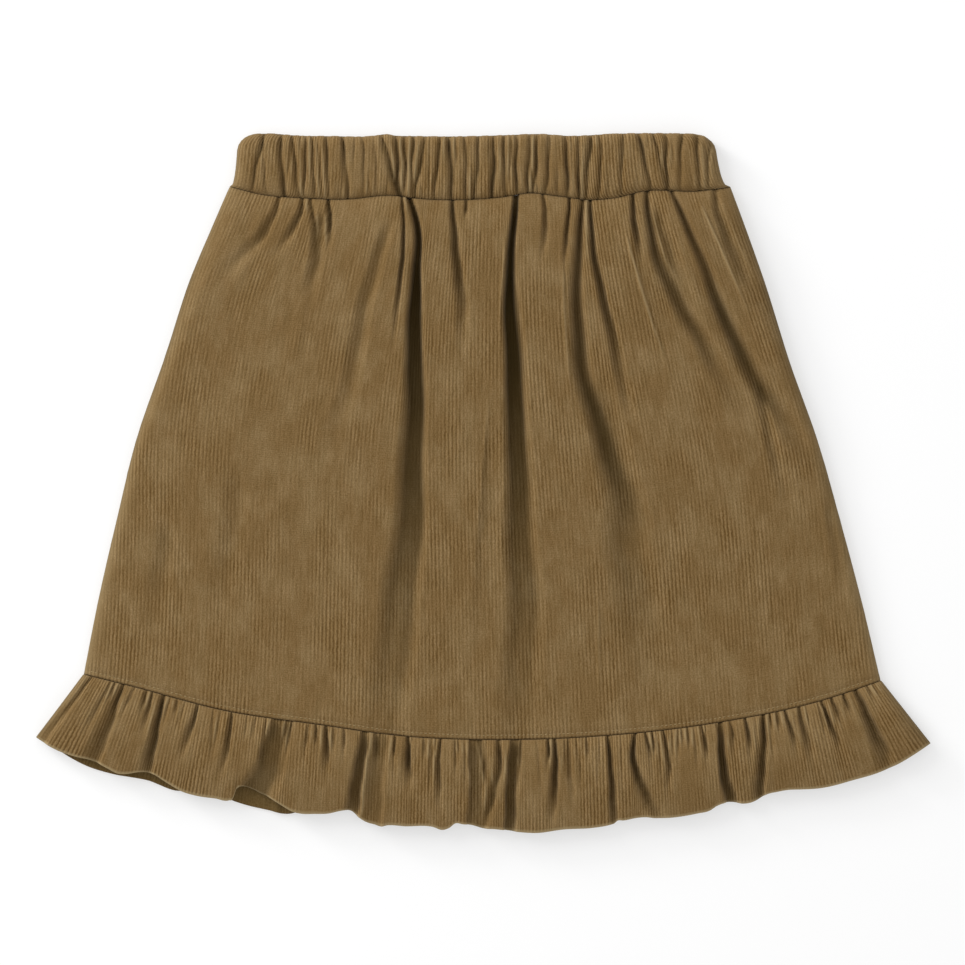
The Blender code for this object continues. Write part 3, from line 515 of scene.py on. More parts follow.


def cord_material(name, crest, valley, worn_and_highlight_colour, painted_shade_colour, wale_share, fuzz):
    """Cotton cord. The crests of its soft ridges, the wales, catch the light, and the valleys
    between show the darker ground. The pile lies unevenly: clear wales here, brushed flat there.
    The map in the cloth's own millimetres lines all of it up with the wales."""
    material, shader = new_material(
        name,
        {
            "Roughness": 0.95, "IOR": 1.46, "Specular IOR Level": 0.1, "Sheen Weight": 0.15,
            "Sheen Roughness": 0.5, "Sheen Tint": srgb("#D9C6A4"),
        },
    )
    link = material.node_tree.links.new

    def stretched(source, low, high, low_out=0.0, high_out=1.0):
        """A node's value, read between two limits and stretched to two others."""
        limits = {"From Min": low, "From Max": high, "To Min": low_out, "To Max": high_out}
        return add_node(material, "MapRange", {"Value": source, **limits}).outputs[0]

    def calculated(operation, first, second=0.0, third=0.0):
        """A sum on a node's value. second and third are numbers or other nodes' values."""
        settings = {"operation": operation, 0: first, 1: second, 2: third}
        return add_node(material, "Math", settings).outputs[0]

    def mixed(kind, factor, first, second):
        """Two colours mixed, each given as linear values or a node's output."""
        settings = {"data_type": "RGBA", "blend_type": kind, 0: factor, 6: first, 7: second}
        return add_node(material, "Mix", settings).outputs[2]

    def carried(attribute):
        """One of the values that the mesh carries at each point."""
        return add_node(material, "Attribute", {"attribute_name": attribute}).outputs["Fac"]

    uv = add_node(material, "UVMap", {"uv_map": "cloth"})
    to_mm = {"operation": "SCALE", 0: uv.outputs[0], "Scale": 1 / MM}
    mm = add_node(material, "VectorMath", to_mm).outputs[0]
    u_and_v = add_node(material, "SeparateXYZ", {0: mm}).outputs

    def streaks(u_mm, v_mm, detail, roughness=0.55):
        """Noise in the cloth, u_mm wide across the wales and v_mm long down them."""
        size = {"Vector": mm, "Scale": (1 / u_mm, 1 / v_mm, 1.0)}
        place = add_node(material, "Mapping", size).outputs[0]
        grain = {"Scale": 1.0, "Detail": detail, "Roughness": roughness}
        settings = {"noise_dimensions": "2D", "Vector": place, **grain}
        return add_node(material, "TexNoise", settings).outputs[0]

    tufts = streaks(0.5, 0.75, 2.0)
    runs = streaks(0.9, 12.0, 3.0)
    brushed = streaks(5.0, 8.0, 4.0, 0.65)
    worn_places = streaks(13.0, 22.0, 5.0, 0.65)

    # Wales, which waver a little and are clear only where the pile stands tall.
    waver = calculated("MULTIPLY_ADD", streaks(1.4, 2.6, 2.0), WALE_WAVER, u_and_v[0])
    centred = calculated("SUBTRACT", waver, WALE_WAVER / 2)
    across_wale = calculated("COSINE", calculated("MULTIPLY", centred, 2 * math.pi / WALE))
    ridge = stretched(across_wale, -1.0, 0.7)
    pile = calculated("SUBTRACT", carried("pile"), 0.8)
    standing = calculated("MULTIPLY_ADD", brushed, 1.6, pile)
    clear = calculated("MULTIPLY", stretched(standing, 0.35, 1.25, 0.1, 1.0), wale_share)
    wale = calculated("MULTIPLY_ADD", calculated("SUBTRACT", ridge, BETWEEN), clear, BETWEEN)

    # Weft picks, which show where it is brushed flat.
    drift = calculated("MULTIPLY", runs, 4.0)
    picks = calculated("MULTIPLY_ADD", u_and_v[1], 2 * math.pi / WEFT_PICK, drift)
    pick_share = calculated("MULTIPLY", stretched(standing, 0.6, 0.2), 0.07)
    pick = calculated("MULTIPLY_ADD", calculated("COSINE", picks), pick_share, 1.0)

    # Tips that catch the light are paler and greyer than the ground between them.
    colour = mixed("MIX", wale, srgb(valley), srgb(crest))
    colour = mixed("MIX", stretched(worn_places, 0.4, 0.7, 0.0, 0.2), colour, srgb(worn_and_highlight_colour))
    for share, dull, pale in (
        (stretched(runs, 0.3, 0.7), (0.88, 0.87, 0.82, 1.0), (1.11, 1.12, 1.17, 1.0)),
        (stretched(tufts, 0.25, 0.75), (0.8, 0.77, 0.66, 1.0), (1.2, 1.23, 1.34, 1.0)),
    ):
        colour = mixed("MULTIPLY", 1.0, colour, mixed("MIX", share, dull, pale))
    colour = mixed("MULTIPLY", 1.0, colour, pick)
    # Painted highlight, with some wear: paler on narrow ridges and at the hem, and painted light on
    # the turned sides.
    highlight_and_wear_share = calculated("MULTIPLY", carried("highlight_and_wear"), HIGHLIGHT_AND_WEAR_MOST)
    colour = mixed("MIX", highlight_and_wear_share, colour, srgb(worn_and_highlight_colour))
    # Painted shade: the colour goes towards a dark shade by how deep in a fold each point lies.
    shade = calculated("MULTIPLY", calculated("POWER", carried("painted_fold_shade"), 1.5), PAINTED_SHADE_MOST)
    colour = mixed("MIX", shade, colour, srgb(painted_shade_colour))
    link(colour, shader.inputs["Base Color"])

    bump = add_node(material, "Bump", {"Strength": fuzz, "Distance": 0.0002, "Height": tufts})
    link(bump.outputs[0], shader.inputs["Normal"])
    return material


# To the eye: a dull olive brown with fine, soft stripes, paler in patches of wear, with a painted
# highlight on narrow ridges, turned sides and the hem, and painted shade nearly black in the deep
# folds, with no shine.
needlecord = cord_material(
    "cotton_needlecord_cut_pile",
    crest="#816843", valley="#573F1D", worn_and_highlight_colour="#9E8A66", painted_shade_colour="#271D04", wale_share=0.85, fuzz=0.6,
)
# The inside: the same yarns without pile, flatter and darker.
wrong_side_cloth = cord_material(
    "cotton_needlecord_woven_ground",
    crest="#6E5937", valley="#5B4725", worn_and_highlight_colour="#6E5937", painted_shade_colour="#33270D", wale_share=0.6, fuzz=0.3,
)

# Rows of the mesh, as shares of the panel's length: close by the seams and where folds begin.
middle_rows = 0.028 + (0.972 - 0.028) * (np.arange(1, 52) / 51) ** 1.2
last_rows = [0.98, 0.986, 0.99, 0.9935, 0.9965, 1.0]
PANEL_ROWS = np.concatenate([[0, 0.008, 0.017, 0.028], middle_rows, last_rows])
back_panel = cord_piece(
    "back_panel_cloth", back_panel_face, PANEL_ROWS, settle=0.16, right_side_up=False
)


def stands_for(piece, node):
    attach(piece, "root")
    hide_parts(node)


stands_for(back_panel, "back_panel")


# ================ front panel
# The front of the skirt, cut like the back. Its gathers drop from the waist seam as soft folds,
# a few of them deep, and it lies on the back panel with its side seams rolled down to it.
FRONT_FOLDS = [Fold(*row) for row in (
    (0, 40, (-86.2, -91.2, -102.3, -114), 1.7, 7, 2.1),
    (0, 25, (-76.2, -77.8, -82.6, -89), 1.4, 4, 2.4),
    (0, 26, (-73, -71, -71.2), 1.3, 1.8, 2.3),
    (0, 22, (-65.2, -64.4, -65), 1.5, 2, 3.6),
    (5, 50, (-67.8, -69.4, -72.4, -76), 3, 5.5, 2.1),
    (8, 118, (-37.8, -49, -57, -70), 3.5, 7, 1.7, 0.2),
    (0, 66, (-34.1, -33.6, -35.8, -37.6), 1.1, 1.8, 3.2),
    (0, 112, (-31, -27.5, -29.5, -28.9, -29), 1.7, 5.8, 6.4, 0.2, 0.1),
    (20, 262, (-30, -29.2, -36.2, -46), 3, 14, 6.4, 0.4),
    (0, 68, (-12.8, -11, -8.6, -8.4), 1.8, 4.4, 4),
    (0, 8, (-6.9,), 1.2, 1.4, 2.2),
    (0, 140, (14, 11.5, 12, 14.8, 11), 1.8, 6, 6.6, 0, 0.1),
    (25, 262, (12, 15.1, 17, 11.5), 3.5, 13, 5.4),
    (95, 210, (5, 4, 2, -1), 5, 9, 0.7, -0.7),
    (0, 30, (25.4, 26.6, 26, 25.4), 1.5, 2.4, 2.3),
    (0, 32, (36.9, 36, 34.9, 34.4), 1.1, 1.5, 3.4),
    (0, 160, (42.6, 39.7, 44.4, 58, 74), 1.9, 9.5, 4.8),
    (70, 235, (48, 58.5, 67, 69), 8, 17, 2.6),
    (0, 104, (45.6, 49.4, 57.8, 64), 1.6, 4.6, 4.1),
    (0, 32, (63.2, 63.9, 65.4, 68), 1.6, 2.6, 3.8, 0.3),
    (0, 108, (69.8, 77.6, 98.2, 121), 1.9, 8.5, 4.4, -0.2),
    (6, 66, (73.5, 79, 87, 95), 4, 7, 2.6),
    (0, 145, (79.8, 95.2, 112, 134.8, 158), 2.2, 9, 4.1),
    (30, 120, (88, 103, 118, 131), 6, 14, 1.2, 0.3),
    (0, 62, (98.4, 103.4, 113.5, 122), 2.4, 6, 2.5),
    (80, 140, (117, 120.5, 126, 131), 3, 5, 1.5),
    (130, 178, (145.2, 148.7, 151.7, 153.7), 2.5, 5, 1),
    (137, 192, (-133.3, -135.4, -138.8, -144.2), 5, 9, 1, 0.2),
    (115, 187, (-102.9, -106.1, -110.3, -115.6), 6, 10, 0.8, 0.2),
    (14, 84, (60.3, 66.4, 73.8, 82), 0.9, 1.5, -0.9),
    (4, 62, (91.5, 100, 108.4, 116), 0.9, 1.4, -0.8),
    (27, 99, (34.2, 34.5, 36.4, 38.5), 0.8, 1, -0.5),
    (18, 60, (9.6, 8.6, 7.6, 7), 0.8, 0.9, -0.6),
    (83, 170, (3, 0.2, -2.2, -4.5), 0.9, 1, -0.35),
    (168, 222, (49.4, 49, 49.4, 49.8), 1, 1.2, -0.35),
)]
HEM_STITCH = 1.8  # from the hem seam up to the row of stitches that holds it flat
STITCH_DENT = 0.35  # how far the row of stitches pulls the cloth in
STITCH_DENT_WIDE = 1.1  # half the width of that dent
RUMPLE = 0.15  # height of the cloth's slight rumples
FLATTER_LEFT = 0.22  # how much flatter the cloth lies on the left, where no deep fold lifts it
# The outer face's height over the surface between folds.
FRONT_PUFF = table(
    "drop high", (0, 7), (8, 8.8), (28, 9.9), (65, 9.2), (110, 7.6), (160, 5.8), (205, 4.8),
    (232, 4.6),
)


def rest_above(height, floor, softness=0.5):
    """Height, but never below the floor: cloth that would sink lies on it."""
    over = height - floor
    return floor + 0.5 * (over + np.sqrt(over**2 + softness**2))


def side_roll(inset, radius):
    """0 at a side edge, 1 from one radius in: the cloth rolls over to its seam."""
    near = 1 - np.clip(inset / radius, 0, 1)
    return np.sqrt(1 - near**2)


def front_panel_face(across, down):
    """The front panel's outer face, and the height that its inner face keeps above."""
    x, y, drop = panel_place(across, down)
    dip = fold_dips(FRONT_FOLDS, x, drop)
    inset = panel_inset(x, down)
    floor = back_panel_height(x, drop, inset) + SEAM_GAP + FOLD_ROOM * ease(inset / 8)
    puff = smooth_line(FRONT_PUFF, "high", drop)
    flatter = 1 - FLATTER_LEFT * ease((-35 - x) / 50) * ease(drop / 20)
    lowest = floor + CLOTH
    high = rest_above(lowest + (puff - lowest) * flatter - dip, lowest)
    radius = 9 - 4 * ease(drop / 120)
    high = lowest + (high - lowest) * side_roll(inset, radius)
    above_hem = drop / np.maximum(down, 0.01) * (1 - down)
    high -= STITCH_DENT * bell((above_hem - HEM_STITCH) / STITCH_DENT_WIDE)
    soft = ease(drop / 30) * ease(above_hem / 12) * ease(inset / 8)
    high += RUMPLE * soft * (uneven(x, y, 13, 24, 3) + uneven(x, y, 31, 17, 4))
    return np.stack([x, y, high], axis=-1), floor


front_panel = cord_piece(
    "front_panel_cloth", front_panel_face, PANEL_ROWS, settle=0.16, round_ends=(0.5, 0.5)
)
stands_for(front_panel, "front_panel")


STITCHED = 0.985  # share of the panel's width that the row crosses
THREAD_SIDES = 6
# A stitch's rings: how far along it, how thick the thread is there and how high over the cloth.
STITCH_SHAPE = table(
    "share thick lift", (0, 0.08, -0.25), (0.15, 0.17, 0.02), (0.5, 0.19, 0.12),
    (0.85, 0.17, 0.02), (1, 0.08, -0.25),
)


def stitch_row(name, face_of, count):
    """A row of machine stitches: short threads that sink into the pile at both ends. Each takes
    three of four steps along the row and leaves the fourth open."""
    across = np.linspace(-STITCHED, STITCHED, count * 4 + 1)[None, :]
    waist, hem = panel_place(across, 0 * across)[1], panel_place(across, 0 * across + 1)[1]
    face, _ = face_of(across, 1 - HEM_STITCH / (waist - hem))
    shape = bmesh.new()
    for start, end in zip(face[0][0:-1:4], face[0][3::4]):
        run = (end - start) / np.linalg.norm(end - start)
        side = np.cross([0, 0, 1.0], run)
        rings = []
        for share, thick, lift in STITCH_SHAPE:
            centre = start + (end - start) * share + [0, 0, lift]
            ring = []
            for angle in np.arange(THREAD_SIDES) * 2 * math.pi / THREAD_SIDES:
                offset = side * math.cos(angle) + np.cross(run, side) * math.sin(angle)
                ring.append(shape.verts.new((centre + offset * thick) * MM))
            rings.append(ring)
        for near, far in zip(rings, rings[1:]):
            for j in range(THREAD_SIDES):
                shape.faces.new([near[j], near[j - 1], far[j - 1], far[j]])
        shape.faces.new(rings[0])
        shape.faces.new(rings[-1][::-1])
    bmesh.ops.recalc_face_normals(shape, faces=shape.faces)
    mesh = bpy.data.meshes.new(name)
    shape.to_mesh(mesh)
    shape.free()
    mesh.shade_smooth()
    mesh.materials.append(sewing_thread)
    return add_object(name, mesh)


# Twisted polyester in a paler shade of the cord's brown, with a faint shine on its plies.
sewing_thread, thread_shader = new_material("spun_polyester_thread", {"Roughness": 0.7})
place = add_node(sewing_thread, "TexCoord", {}).outputs[3]
fine_noise = {"Scale": 2400.0, "Detail": 1.0, "Vector": place}
twist = add_node(sewing_thread, "TexNoise", fine_noise).outputs[0]
ply_colours = {"data_type": "RGBA", 0: twist, 6: srgb("#6E5A35"), 7: srgb("#A08A60")}
plies = add_node(sewing_thread, "Mix", ply_colours).outputs[2]
sewing_thread.node_tree.links.new(plies, thread_shader.inputs["Base Color"])
hem_stitches = stitch_row("hem_stitches", front_panel_face, 176)
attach(hem_stitches, "root")


# ================ ruffles
# A straight strip of the same cord for the front hem and one for the back, each gathered along
# its top and turned under in a narrow hem. The gathers open into waves that reach the free edge.
RUFFLE_ENDS = 169.0
RUFFLE_LONG = 38.0  # from its seam to the free edge
# Where the free edge lies, outwards and downwards from each place on the seam.
RUFFLE_FALL = table(
    "at out down", (-169, -20.1, 26.6), (-155, -14.4, 34), (-139, -10, 35.4), (-107, -5, 36.9),
    (-70, -2, 38.4), (-33, -1, 38.2), (5, 0, 38.9), (49, 1, 38.4), (96, 3, 37), (126, 5, 35),
    (146, 9, 35), (158, 14, 33), (169, 20.1, 25.5),
)
# These start and end in shares of the ruffle's length; a fold that ends past 1 is open at the edge.
RUFFLE_FOLDS = [Fold(*row) for row in (
    (0, 1.5, (-165.6, -167.2, -168), 1.6, 2.4, 2.2, 0.7), (0, 0.25, (-155.4, -155), 1, 1.4, 1.6),
    (0, 1.7, (-152.6, -152.6, -153.2), 2.4, 5.2, 3.2, 0.6), (0, 0.25, (-142.2, -141.8), 1, 1.3, 2),
    (0, 0.5, (-139.7, -139.3, -138.5), 1.1, 2.2, 2.4, 0.3),
    (0, 1.5, (-134.9, -134.4, -133.2), 1.7, 4, 4.2, 0.4),
    (0, 0.2, (-129, -128.8, -128.5), 1, 1.2, 1.4),
    (0, 0.7, (-120.4, -121.9, -124.8), 1.2, 2.8, 2.5, 0.2),
    (0, 0.8, (-106.4, -106.3, -107.8), 1.2, 2.6, 2.5, 0.4),
    (0, 2.2, (-84.6, -90.2, -99.5, -111), 5.2, 9, 3.7, -0.4, 1),
    (0, 1.2, (-80.6, -83.6, -88), 1, 1.6, 1.6, 0.5), (0, 0.25, (-70.3, -70.1), 1, 1.3, 2),
    (0, 0.55, (-66.4, -65.2), 1.4, 2.8, 3.4, 0.6), (0, 0.25, (-58.4, -58), 1, 1.3, 1.2),
    (0, 1.6, (-49.6, -53.4, -57), 2.4, 4.4, 4.2, 0.2, 0.5),
    (0, 1.5, (-43.8, -45.6, -47), 4.6, 5.6, 2.6, 0.7, 0.5),
    (0, 0.3, (-45, -45.2, -45.6), 1, 1.4, 2), (0, 0.3, (-36.8, -38), 1, 1.3, 1.8),
    (0, 0.6, (-31.8, -31.4, -30.8), 1.4, 3, 4, 0.6), (0, 0.25, (-24.5, -24.3), 1, 1.3, 1.2),
    (0, 0.85, (-17.7, -18.5, -16.4), 1.2, 2.6, 2.8, 0.2), (0, 0.2, (-10.4, -9.6), 1, 1.2, 1.2),
    (0, 1.6, (-2.6, -2.4, -5), 3.6, 4.2, 2.8, -0.7, 0.8),
    (0, 0.75, (-0.6, 4.6), 1.9, 2.8, 2.9, -0.3), (0, 1.5, (6.4, 5.2, -0.8, -6), 2.2, 3.6, 3.4, 0.4),
    (0, 1.7, (13.9, 12.4, 11.6, 13.6), 2.9, 3.4, 4.3, -0.6, 0.5),
    (0, 0.5, (16.4, 15.6, 14.4), 1, 1.4, 2, 0.3), (0, 0.25, (27.6, 28.4), 1, 1.3, 2.2),
    (0, 1, (30.2, 29.8, 27), 1.6, 3.2, 4.4, 0.6), (0, 0.75, (36.3, 36.7, 38.8), 1.2, 2.4, 2, 0.2),
    (0, 0.25, (44, 44.6), 1, 1.3, 1.6), (0, 1.5, (53.6, 54.6, 56.2), 1.5, 3.2, 3.9, -0.6),
    (0.1, 1.3, (52, 53.4, 54.3), 0.7, 0.8, -0.4),
    (0, 1.25, (65, 64.4, 70.6, 77.5), 1.4, 4.8, 4.9, -0.3), (0, 0.3, (68.8, 70, 71), 1, 1.3, 2.6),
    (0, 0.3, (71.8, 72.6), 1, 1.3, 2.2), (0, 0.75, (76.2, 77.6, 76.2), 1.2, 2.2, 2.8, 0.3),
    (0, 0.2, (84.2, 84.4), 1, 1.2, 1.4), (0, 0.25, (86.8, 87), 1, 1.2, 1.6),
    (0, 0.4, (92.5, 93.4, 94.2), 1.1, 1.6, 2.2, 0.2),
    (0, 1.7, (100.8, 100.6, 103.4, 107.5), 1.4, 5.4, 5.2, -0.5, 0.2),
    (0, 0.5, (105.4, 104.8), 1.4, 2.2, 1.2), (0, 0.45, (111.3, 111.8, 112.6), 1.2, 1.8, 2.8),
    (0, 1.7, (118.6, 115.6, 111.5, 106), 1.7, 4.8, 4.5, 0.5), (0, 0.2, (121.7, 121.5), 1, 1.2, 1.6),
    (0, 0.2, (124.5, 124.3), 1, 1.2, 1.4), (0, 0.55, (127.8, 129.2, 130.4), 1.2, 2, 3, 0.2),
    (0, 0.75, (133.8, 134.6, 137), 1.6, 3.2, 2.8), (0, 0.7, (143.5, 144.9, 147.4), 1.2, 2, 3.6),
    (0, 0.4, (147.6, 149.6), 1.1, 1.5, 2.4), (0, 0.3, (152.6, 153, 153.5), 1, 1.3, 2.2),
    (0, 1.35, (157.4, 157.6, 156.2), 2, 4, 4.4, 0.5), (0, 0.2, (162.6,), 1, 1.2, 1.6),
    (0, 0.2, (165.2,), 1, 1.2, 1.2),
)]
# How far each free edge draws back from the smooth line of RUFFLE_FALL, in mm.
FRONT_EDGE = table(
    "at back", (-169, 0), (-163, 0), (-158, 1.35), (-154, 2.5), (-151, 2.4), (-147, 1.2),
    (-143, 0), (-140, 0.9), (-137, 2.7), (-134, 3.6), (-131, 3.6), (-128, 2.4), (-124, 0.9),
    (-120.5, -0.2), (-115, -0.5), (-108, 0.2), (-102.6, 0.7), (-101.4, 1.6), (-100.4, 6.4),
    (-99, 7.4), (-97, 7.5), (-94, 6.9), (-91, 5.8), (-88, 5), (-84.9, 3.6), (-81.8, 2.1),
    (-78, 0.5), (-74.3, 0.2), (-69.3, 0.9), (-63, 2.1), (-59.9, 3.3), (-57.4, 4.1), (-54.3, 4.2),
    (-51.1, 2.1), (-48, 0.5), (-44.3, -0.2), (-41.8, -0.7), (-39.3, 0.1), (-31.8, 0.5),
    (-20.5, 1.2), (-16.1, 0.2), (-13.6, 1.2), (-11.1, 3.2), (-8, 3), (-4.3, 2.7), (-0.3, 1.6),
    (5.4, 1.3), (14.1, 0.2), (22.3, -0.5), (33.5, 0.4), (46, 0.2), (52.3, 0.7), (54.8, 1.2),
    (55.8, 2.1), (58.5, 2.1), (64.1, 2.6), (67.9, 2.4), (71, 1.6), (76, 1), (88.3, 0.9),
    (93.3, 1.2), (96.4, 2.6), (99.5, 3.1), (103.3, 2.4), (107, 1), (110.1, 0.7), (113.3, 1.2),
    (115.8, 2.4), (120.8, 2.6), (124.5, 2.4), (128.9, 1.5), (135.1, 0.5), (147.6, 0.4), (157, 0),
    (163.3, -0.8), (169, -1.4),
)
BACK_EDGE = table(
    "at back", (-169, 0.8), (-163, 0), (-151, -0.9), (-143, -1.1), (-133, 0), (-122, -0.9),
    (-117, 1), (-106, 1.5), (-100.5, 0.2), (-88, -0.9), (-79, -1), (-75, 0.8), (-70, 3),
    (-60, 5.8), (-54, 6.2), (-47, 3), (-40, 2), (-20, 3), (-10, 5), (0, 4), (20, 2), (45, 2.5),
    (60, 4.5), (75, 3.5), (90, 3.5), (99, 5), (110, 3.4), (120, 4.8), (135, 2.5), (160, 2),
    (169, 0.4),
)
# The outer face's height over the surface between folds, for shares of the ruffle's length.
RUFFLE_PUFF = table(
    "drop high", (0, 4.9), (0.06, 6.4), (0.2, 7.8), (0.5, 8.8), (0.85, 8), (1, 7.2),
)


def ruffle_place(along, down, edge):
    """X and Y on the ruffle strip, for along in mm on its seam and down from 0 to 1."""
    top = smooth_line(HEM_SEAM, "y", along) - SEAM_LINE
    out = smooth_line(RUFFLE_FALL, "out", along)
    fall = smooth_line(RUFFLE_FALL, "down", along)
    shorter = 1 - smooth_line(edge, "back", along) * down**2 / RUFFLE_LONG
    return along + out * down * shorter, top - fall * down * shorter


def back_ruffle_folds():
    """The back strip's folds: uneven gathers, each rising a little from the surface."""
    folds = []
    spacing, count = 9.4, 35
    for i in range(count):
        at = (i - (count - 1) / 2) * spacing + 2.2 * math.sin(2.4 * i)
        lean = 1.5 * math.sin(3.1 * i)
        if i % 3 == 1:
            folds.append(Fold(0, 0.5, (at, at + lean), 1.8, 1.9, 0.8))
        else:
            deep = 1.2 + 0.35 * math.sin(1.7 * i)
            folds.append(Fold(0, 1.5, (at, at + lean), 1.8, 3.8, deep))
    return folds


def back_ruffle_height(along, down):
    """Height of the back ruffle's upper face: low ridges on the surface."""
    rise = fold_dips(back_ruffle_folds(), along, down)
    return CLOTH + rise * ease((RUFFLE_ENDS - np.abs(along)) / 8)


def back_ruffle_face(across, down):
    """The back ruffle's upper face, which the front one lies on, and the surface under it."""
    along = across * RUFFLE_ENDS
    x, y = ruffle_place(along, down, BACK_EDGE)
    return np.stack([x, y, back_ruffle_height(along, down)], axis=-1), 0.0 * x


SMALL_GATHERS_ACROSS = 318.0  # of the seam
STRIP_SIDE_ROLL = 5.0  # radius of the rolled sides of the ruffle and the band


def small_ruffle_gathers(count, seed):
    """Short, shallow creases just below the seam, between the larger gathers."""
    draw = np.random.default_rng(seed)
    folds = []
    for i in range(count):
        at = (i - (count - 1) / 2) * SMALL_GATHERS_ACROSS / count + draw.uniform(-1.8, 1.8)
        reach, lean = draw.uniform(0.25, 0.75), draw.uniform(-2.5, 2.5)
        wide_end, deep = draw.uniform(1.0, 2.4), draw.uniform(0.4, 1.2)
        folds.append(Fold(0, reach, (at, at + lean), 0.8, wide_end, deep))
    return folds


def front_ruffle_face(across, down):
    """The front ruffle's outer face, and the height that its inner face keeps above."""
    along = across * RUFFLE_ENDS
    dip = fold_dips(RUFFLE_FOLDS + small_ruffle_gathers(62, 8), along, down)
    inset = RUFFLE_ENDS - np.abs(along)
    x, y = ruffle_place(along, down, FRONT_EDGE)
    floor = back_ruffle_height(along, down) + SEAM_GAP + FOLD_ROOM * ease(inset / 8)
    lowest = floor + CLOTH
    high = rest_above(smooth_line(RUFFLE_PUFF, "high", down) - dip, lowest)
    high = lowest + (high - lowest) * side_roll(inset, STRIP_SIDE_ROLL)
    return np.stack([x, y, high], axis=-1), floor


RUFFLE_ROWS = np.array(
    [0, 0.02, 0.05, 0.1, 0.16, 0.23, 0.31, 0.4, 0.5, 0.6, 0.7, 0.8, 0.89, 0.96, 0.988, 1.0]
)
RUFFLE_CUT = 490.0  # length of each strip between its side seams, before it is gathered
ruffle_back = cord_piece(
    "ruffle_back_cloth", back_ruffle_face, RUFFLE_ROWS, cut_width=RUFFLE_CUT, right_side_up=False
)
# Its hem is painted pale, for wear and a painted highlight, and the shade painted into its folds is
# a little lighter.
ruffle_front = cord_piece(
    "ruffle_front_cloth", front_ruffle_face, RUFFLE_ROWS, cut_width=RUFFLE_CUT,
    round_ends=(0.3, 0.45), hem_wear_and_highlight=1.0, painted_shade_strength=0.88,
)
for piece, node, under in (
    (ruffle_back, "ruffle_back", "floor"),
    (ruffle_front, "ruffle_front", ruffle_back),
):
    stands_for(piece, node)


# ================ waistband
# A strip of the cord folded over a wide elastic and joined to the panels below. The elastic draws
# it up into narrow, uneven gathers. Its front and back halves lie on each other.
BAND_EDGE = table(
    "x y", (-107, 147.7), (-95, 147.7), (-81, 146.9), (-67, 146.7), (-47, 146.9), (-43, 147.5),
    (-38, 146.9), (-30, 146.7), (-8, 146.6), (13, 147.2), (26, 147.6), (39, 146.8), (60, 147.7),
    (94, 147.8), (105, 147.6),
)
BAND_TOP = 147.52
BAND_CORNER = 7.0  # height of its rounded upper corners
BAND_CORNER_CUT = 8.0  # how far they cut in
BAND_NARROWER = (3.6, 7.0)  # how far its left and right ends lean in towards the top
BAND_FRONT_LOW = BAND_WALL + SEAM_GAP
BAND_LEAST = 0.4  # least height of the front half at its rolled edges
BAND_PUFF = 1.6  # how far the cloth swells over the elastic
BAND_DEEPEST = 3.6  # most depth of its creases
NOTCH_DEEPEST = 2.0  # most depth of a crease where it dents the top edge
NOTCH_SHARE = 0.3  # share of that depth by which the edge is drawn in
BACK_ROUND = 0.9  # how far the back half's edges lift off the surface
BACK_DEEPEST = 1.5  # most depth of its creases
# A gather crosses the band from its top edge (0) to the seam (1) unless it starts or ends sooner.
Gather = namedtuple("Gather", "at slant deep start end", defaults=(0, 1))
BAND_GATHERS = [Gather(*row) for row in (
    (-92.5, -5, 1.9), (-85.5, 1.5, 3.1), (-80.8, 3.5, 1.9), (-75, 0, 1.6), (-71.5, 0, 1.3),
    (-65.5, 0, 1.8), (-58.8, 1.8, 2.6), (-50.5, 0.5, 1), (-42.8, 7.5, 2.9), (-36.8, 1.8, 3.4),
    (-32.8, 0, 2.1), (-29.3, -0.5, 2.1), (-24.5, -4, 2.3), (-18.2, -2, 1.8), (-14, 0.8, 3.4),
    (-7.2, 0, 1.6), (-1.3, -2.5, 2.1), (5.1, -1.3, 3.1), (9.3, 0, 1.8), (14.4, 0, 2.3),
    (20, -1, 2.1), (23.6, -2.4, 2.1), (29.2, -3, 1.8), (35.6, 0, 2.3), (41, -0.8, 2.1),
    (45.8, -2.2, 3.1), (50, -0.8, 1.8), (60, -2, 1.6), (66.5, 4.2, 2.9), (72.8, 4.6, 1.8),
    (77.3, 1, 2.6), (84.2, -0.8, 1.6), (90.6, 1.2, 2.3), (96, -0.8, 1.6),
)]


def band_place(across, down):
    """X and Y on the waistband, for across from -1 to 1 and down from its top edge to the seam."""
    seam_x = side_x(0.0 * down, across)
    bottom = smooth_line(WAIST_SEAM, "y", seam_x) + SEAM_LINE
    top = smooth_line(BAND_EDGE, "y", seam_x)
    y = top + (bottom - top) * down
    narrowing = np.where(across < 0, *BAND_NARROWER) * (1 - down) ** 0.35
    corner = np.clip(1 - (BAND_TOP - y) / BAND_CORNER, 0, 1)
    cut = BAND_CORNER_CUT * (1 - np.sqrt(1 - corner**2))
    return seam_x - narrowing * across - cut * across * np.abs(across) ** 6, y


def band_gather_depth(x, down, gathers, deepest):
    """Depth of the creases that the elastic draws into the band. They wander as they go."""
    depth = np.zeros(x.shape)
    for gather in gathers:
        line = gather.at + gather.slant * down
        line += 0.35 * np.sin(5 * down + gather.at) + 0.2 * np.sin(11 * down + 3 * gather.at)
        away = np.abs(x - line) / (1.0 + 0.4 * gather.deep)
        full = 0.8 + 0.2 * np.sin(4.3 * down + 2.1 * gather.at)
        if gather.start > 0:
            full = full * ease((down - gather.start) / 0.3)
        if gather.end < 1:
            full = full * ease((gather.end - down) / 0.3)
        depth += 1.2 * gather.deep * full * np.clip(1 - away, 0, 1) ** 2
    return np.minimum(depth, deepest)


def band_swell(across, down):
    """How full the band is, from 0 at its rolled sides to 1 along its middle."""
    half = (SIDES[0].left + SIDES[0].right) / 2
    crest = np.interp(down, *zip(*BAND_CREST))
    return crest * side_roll(half * (1 - np.abs(across)), STRIP_SIDE_ROLL)


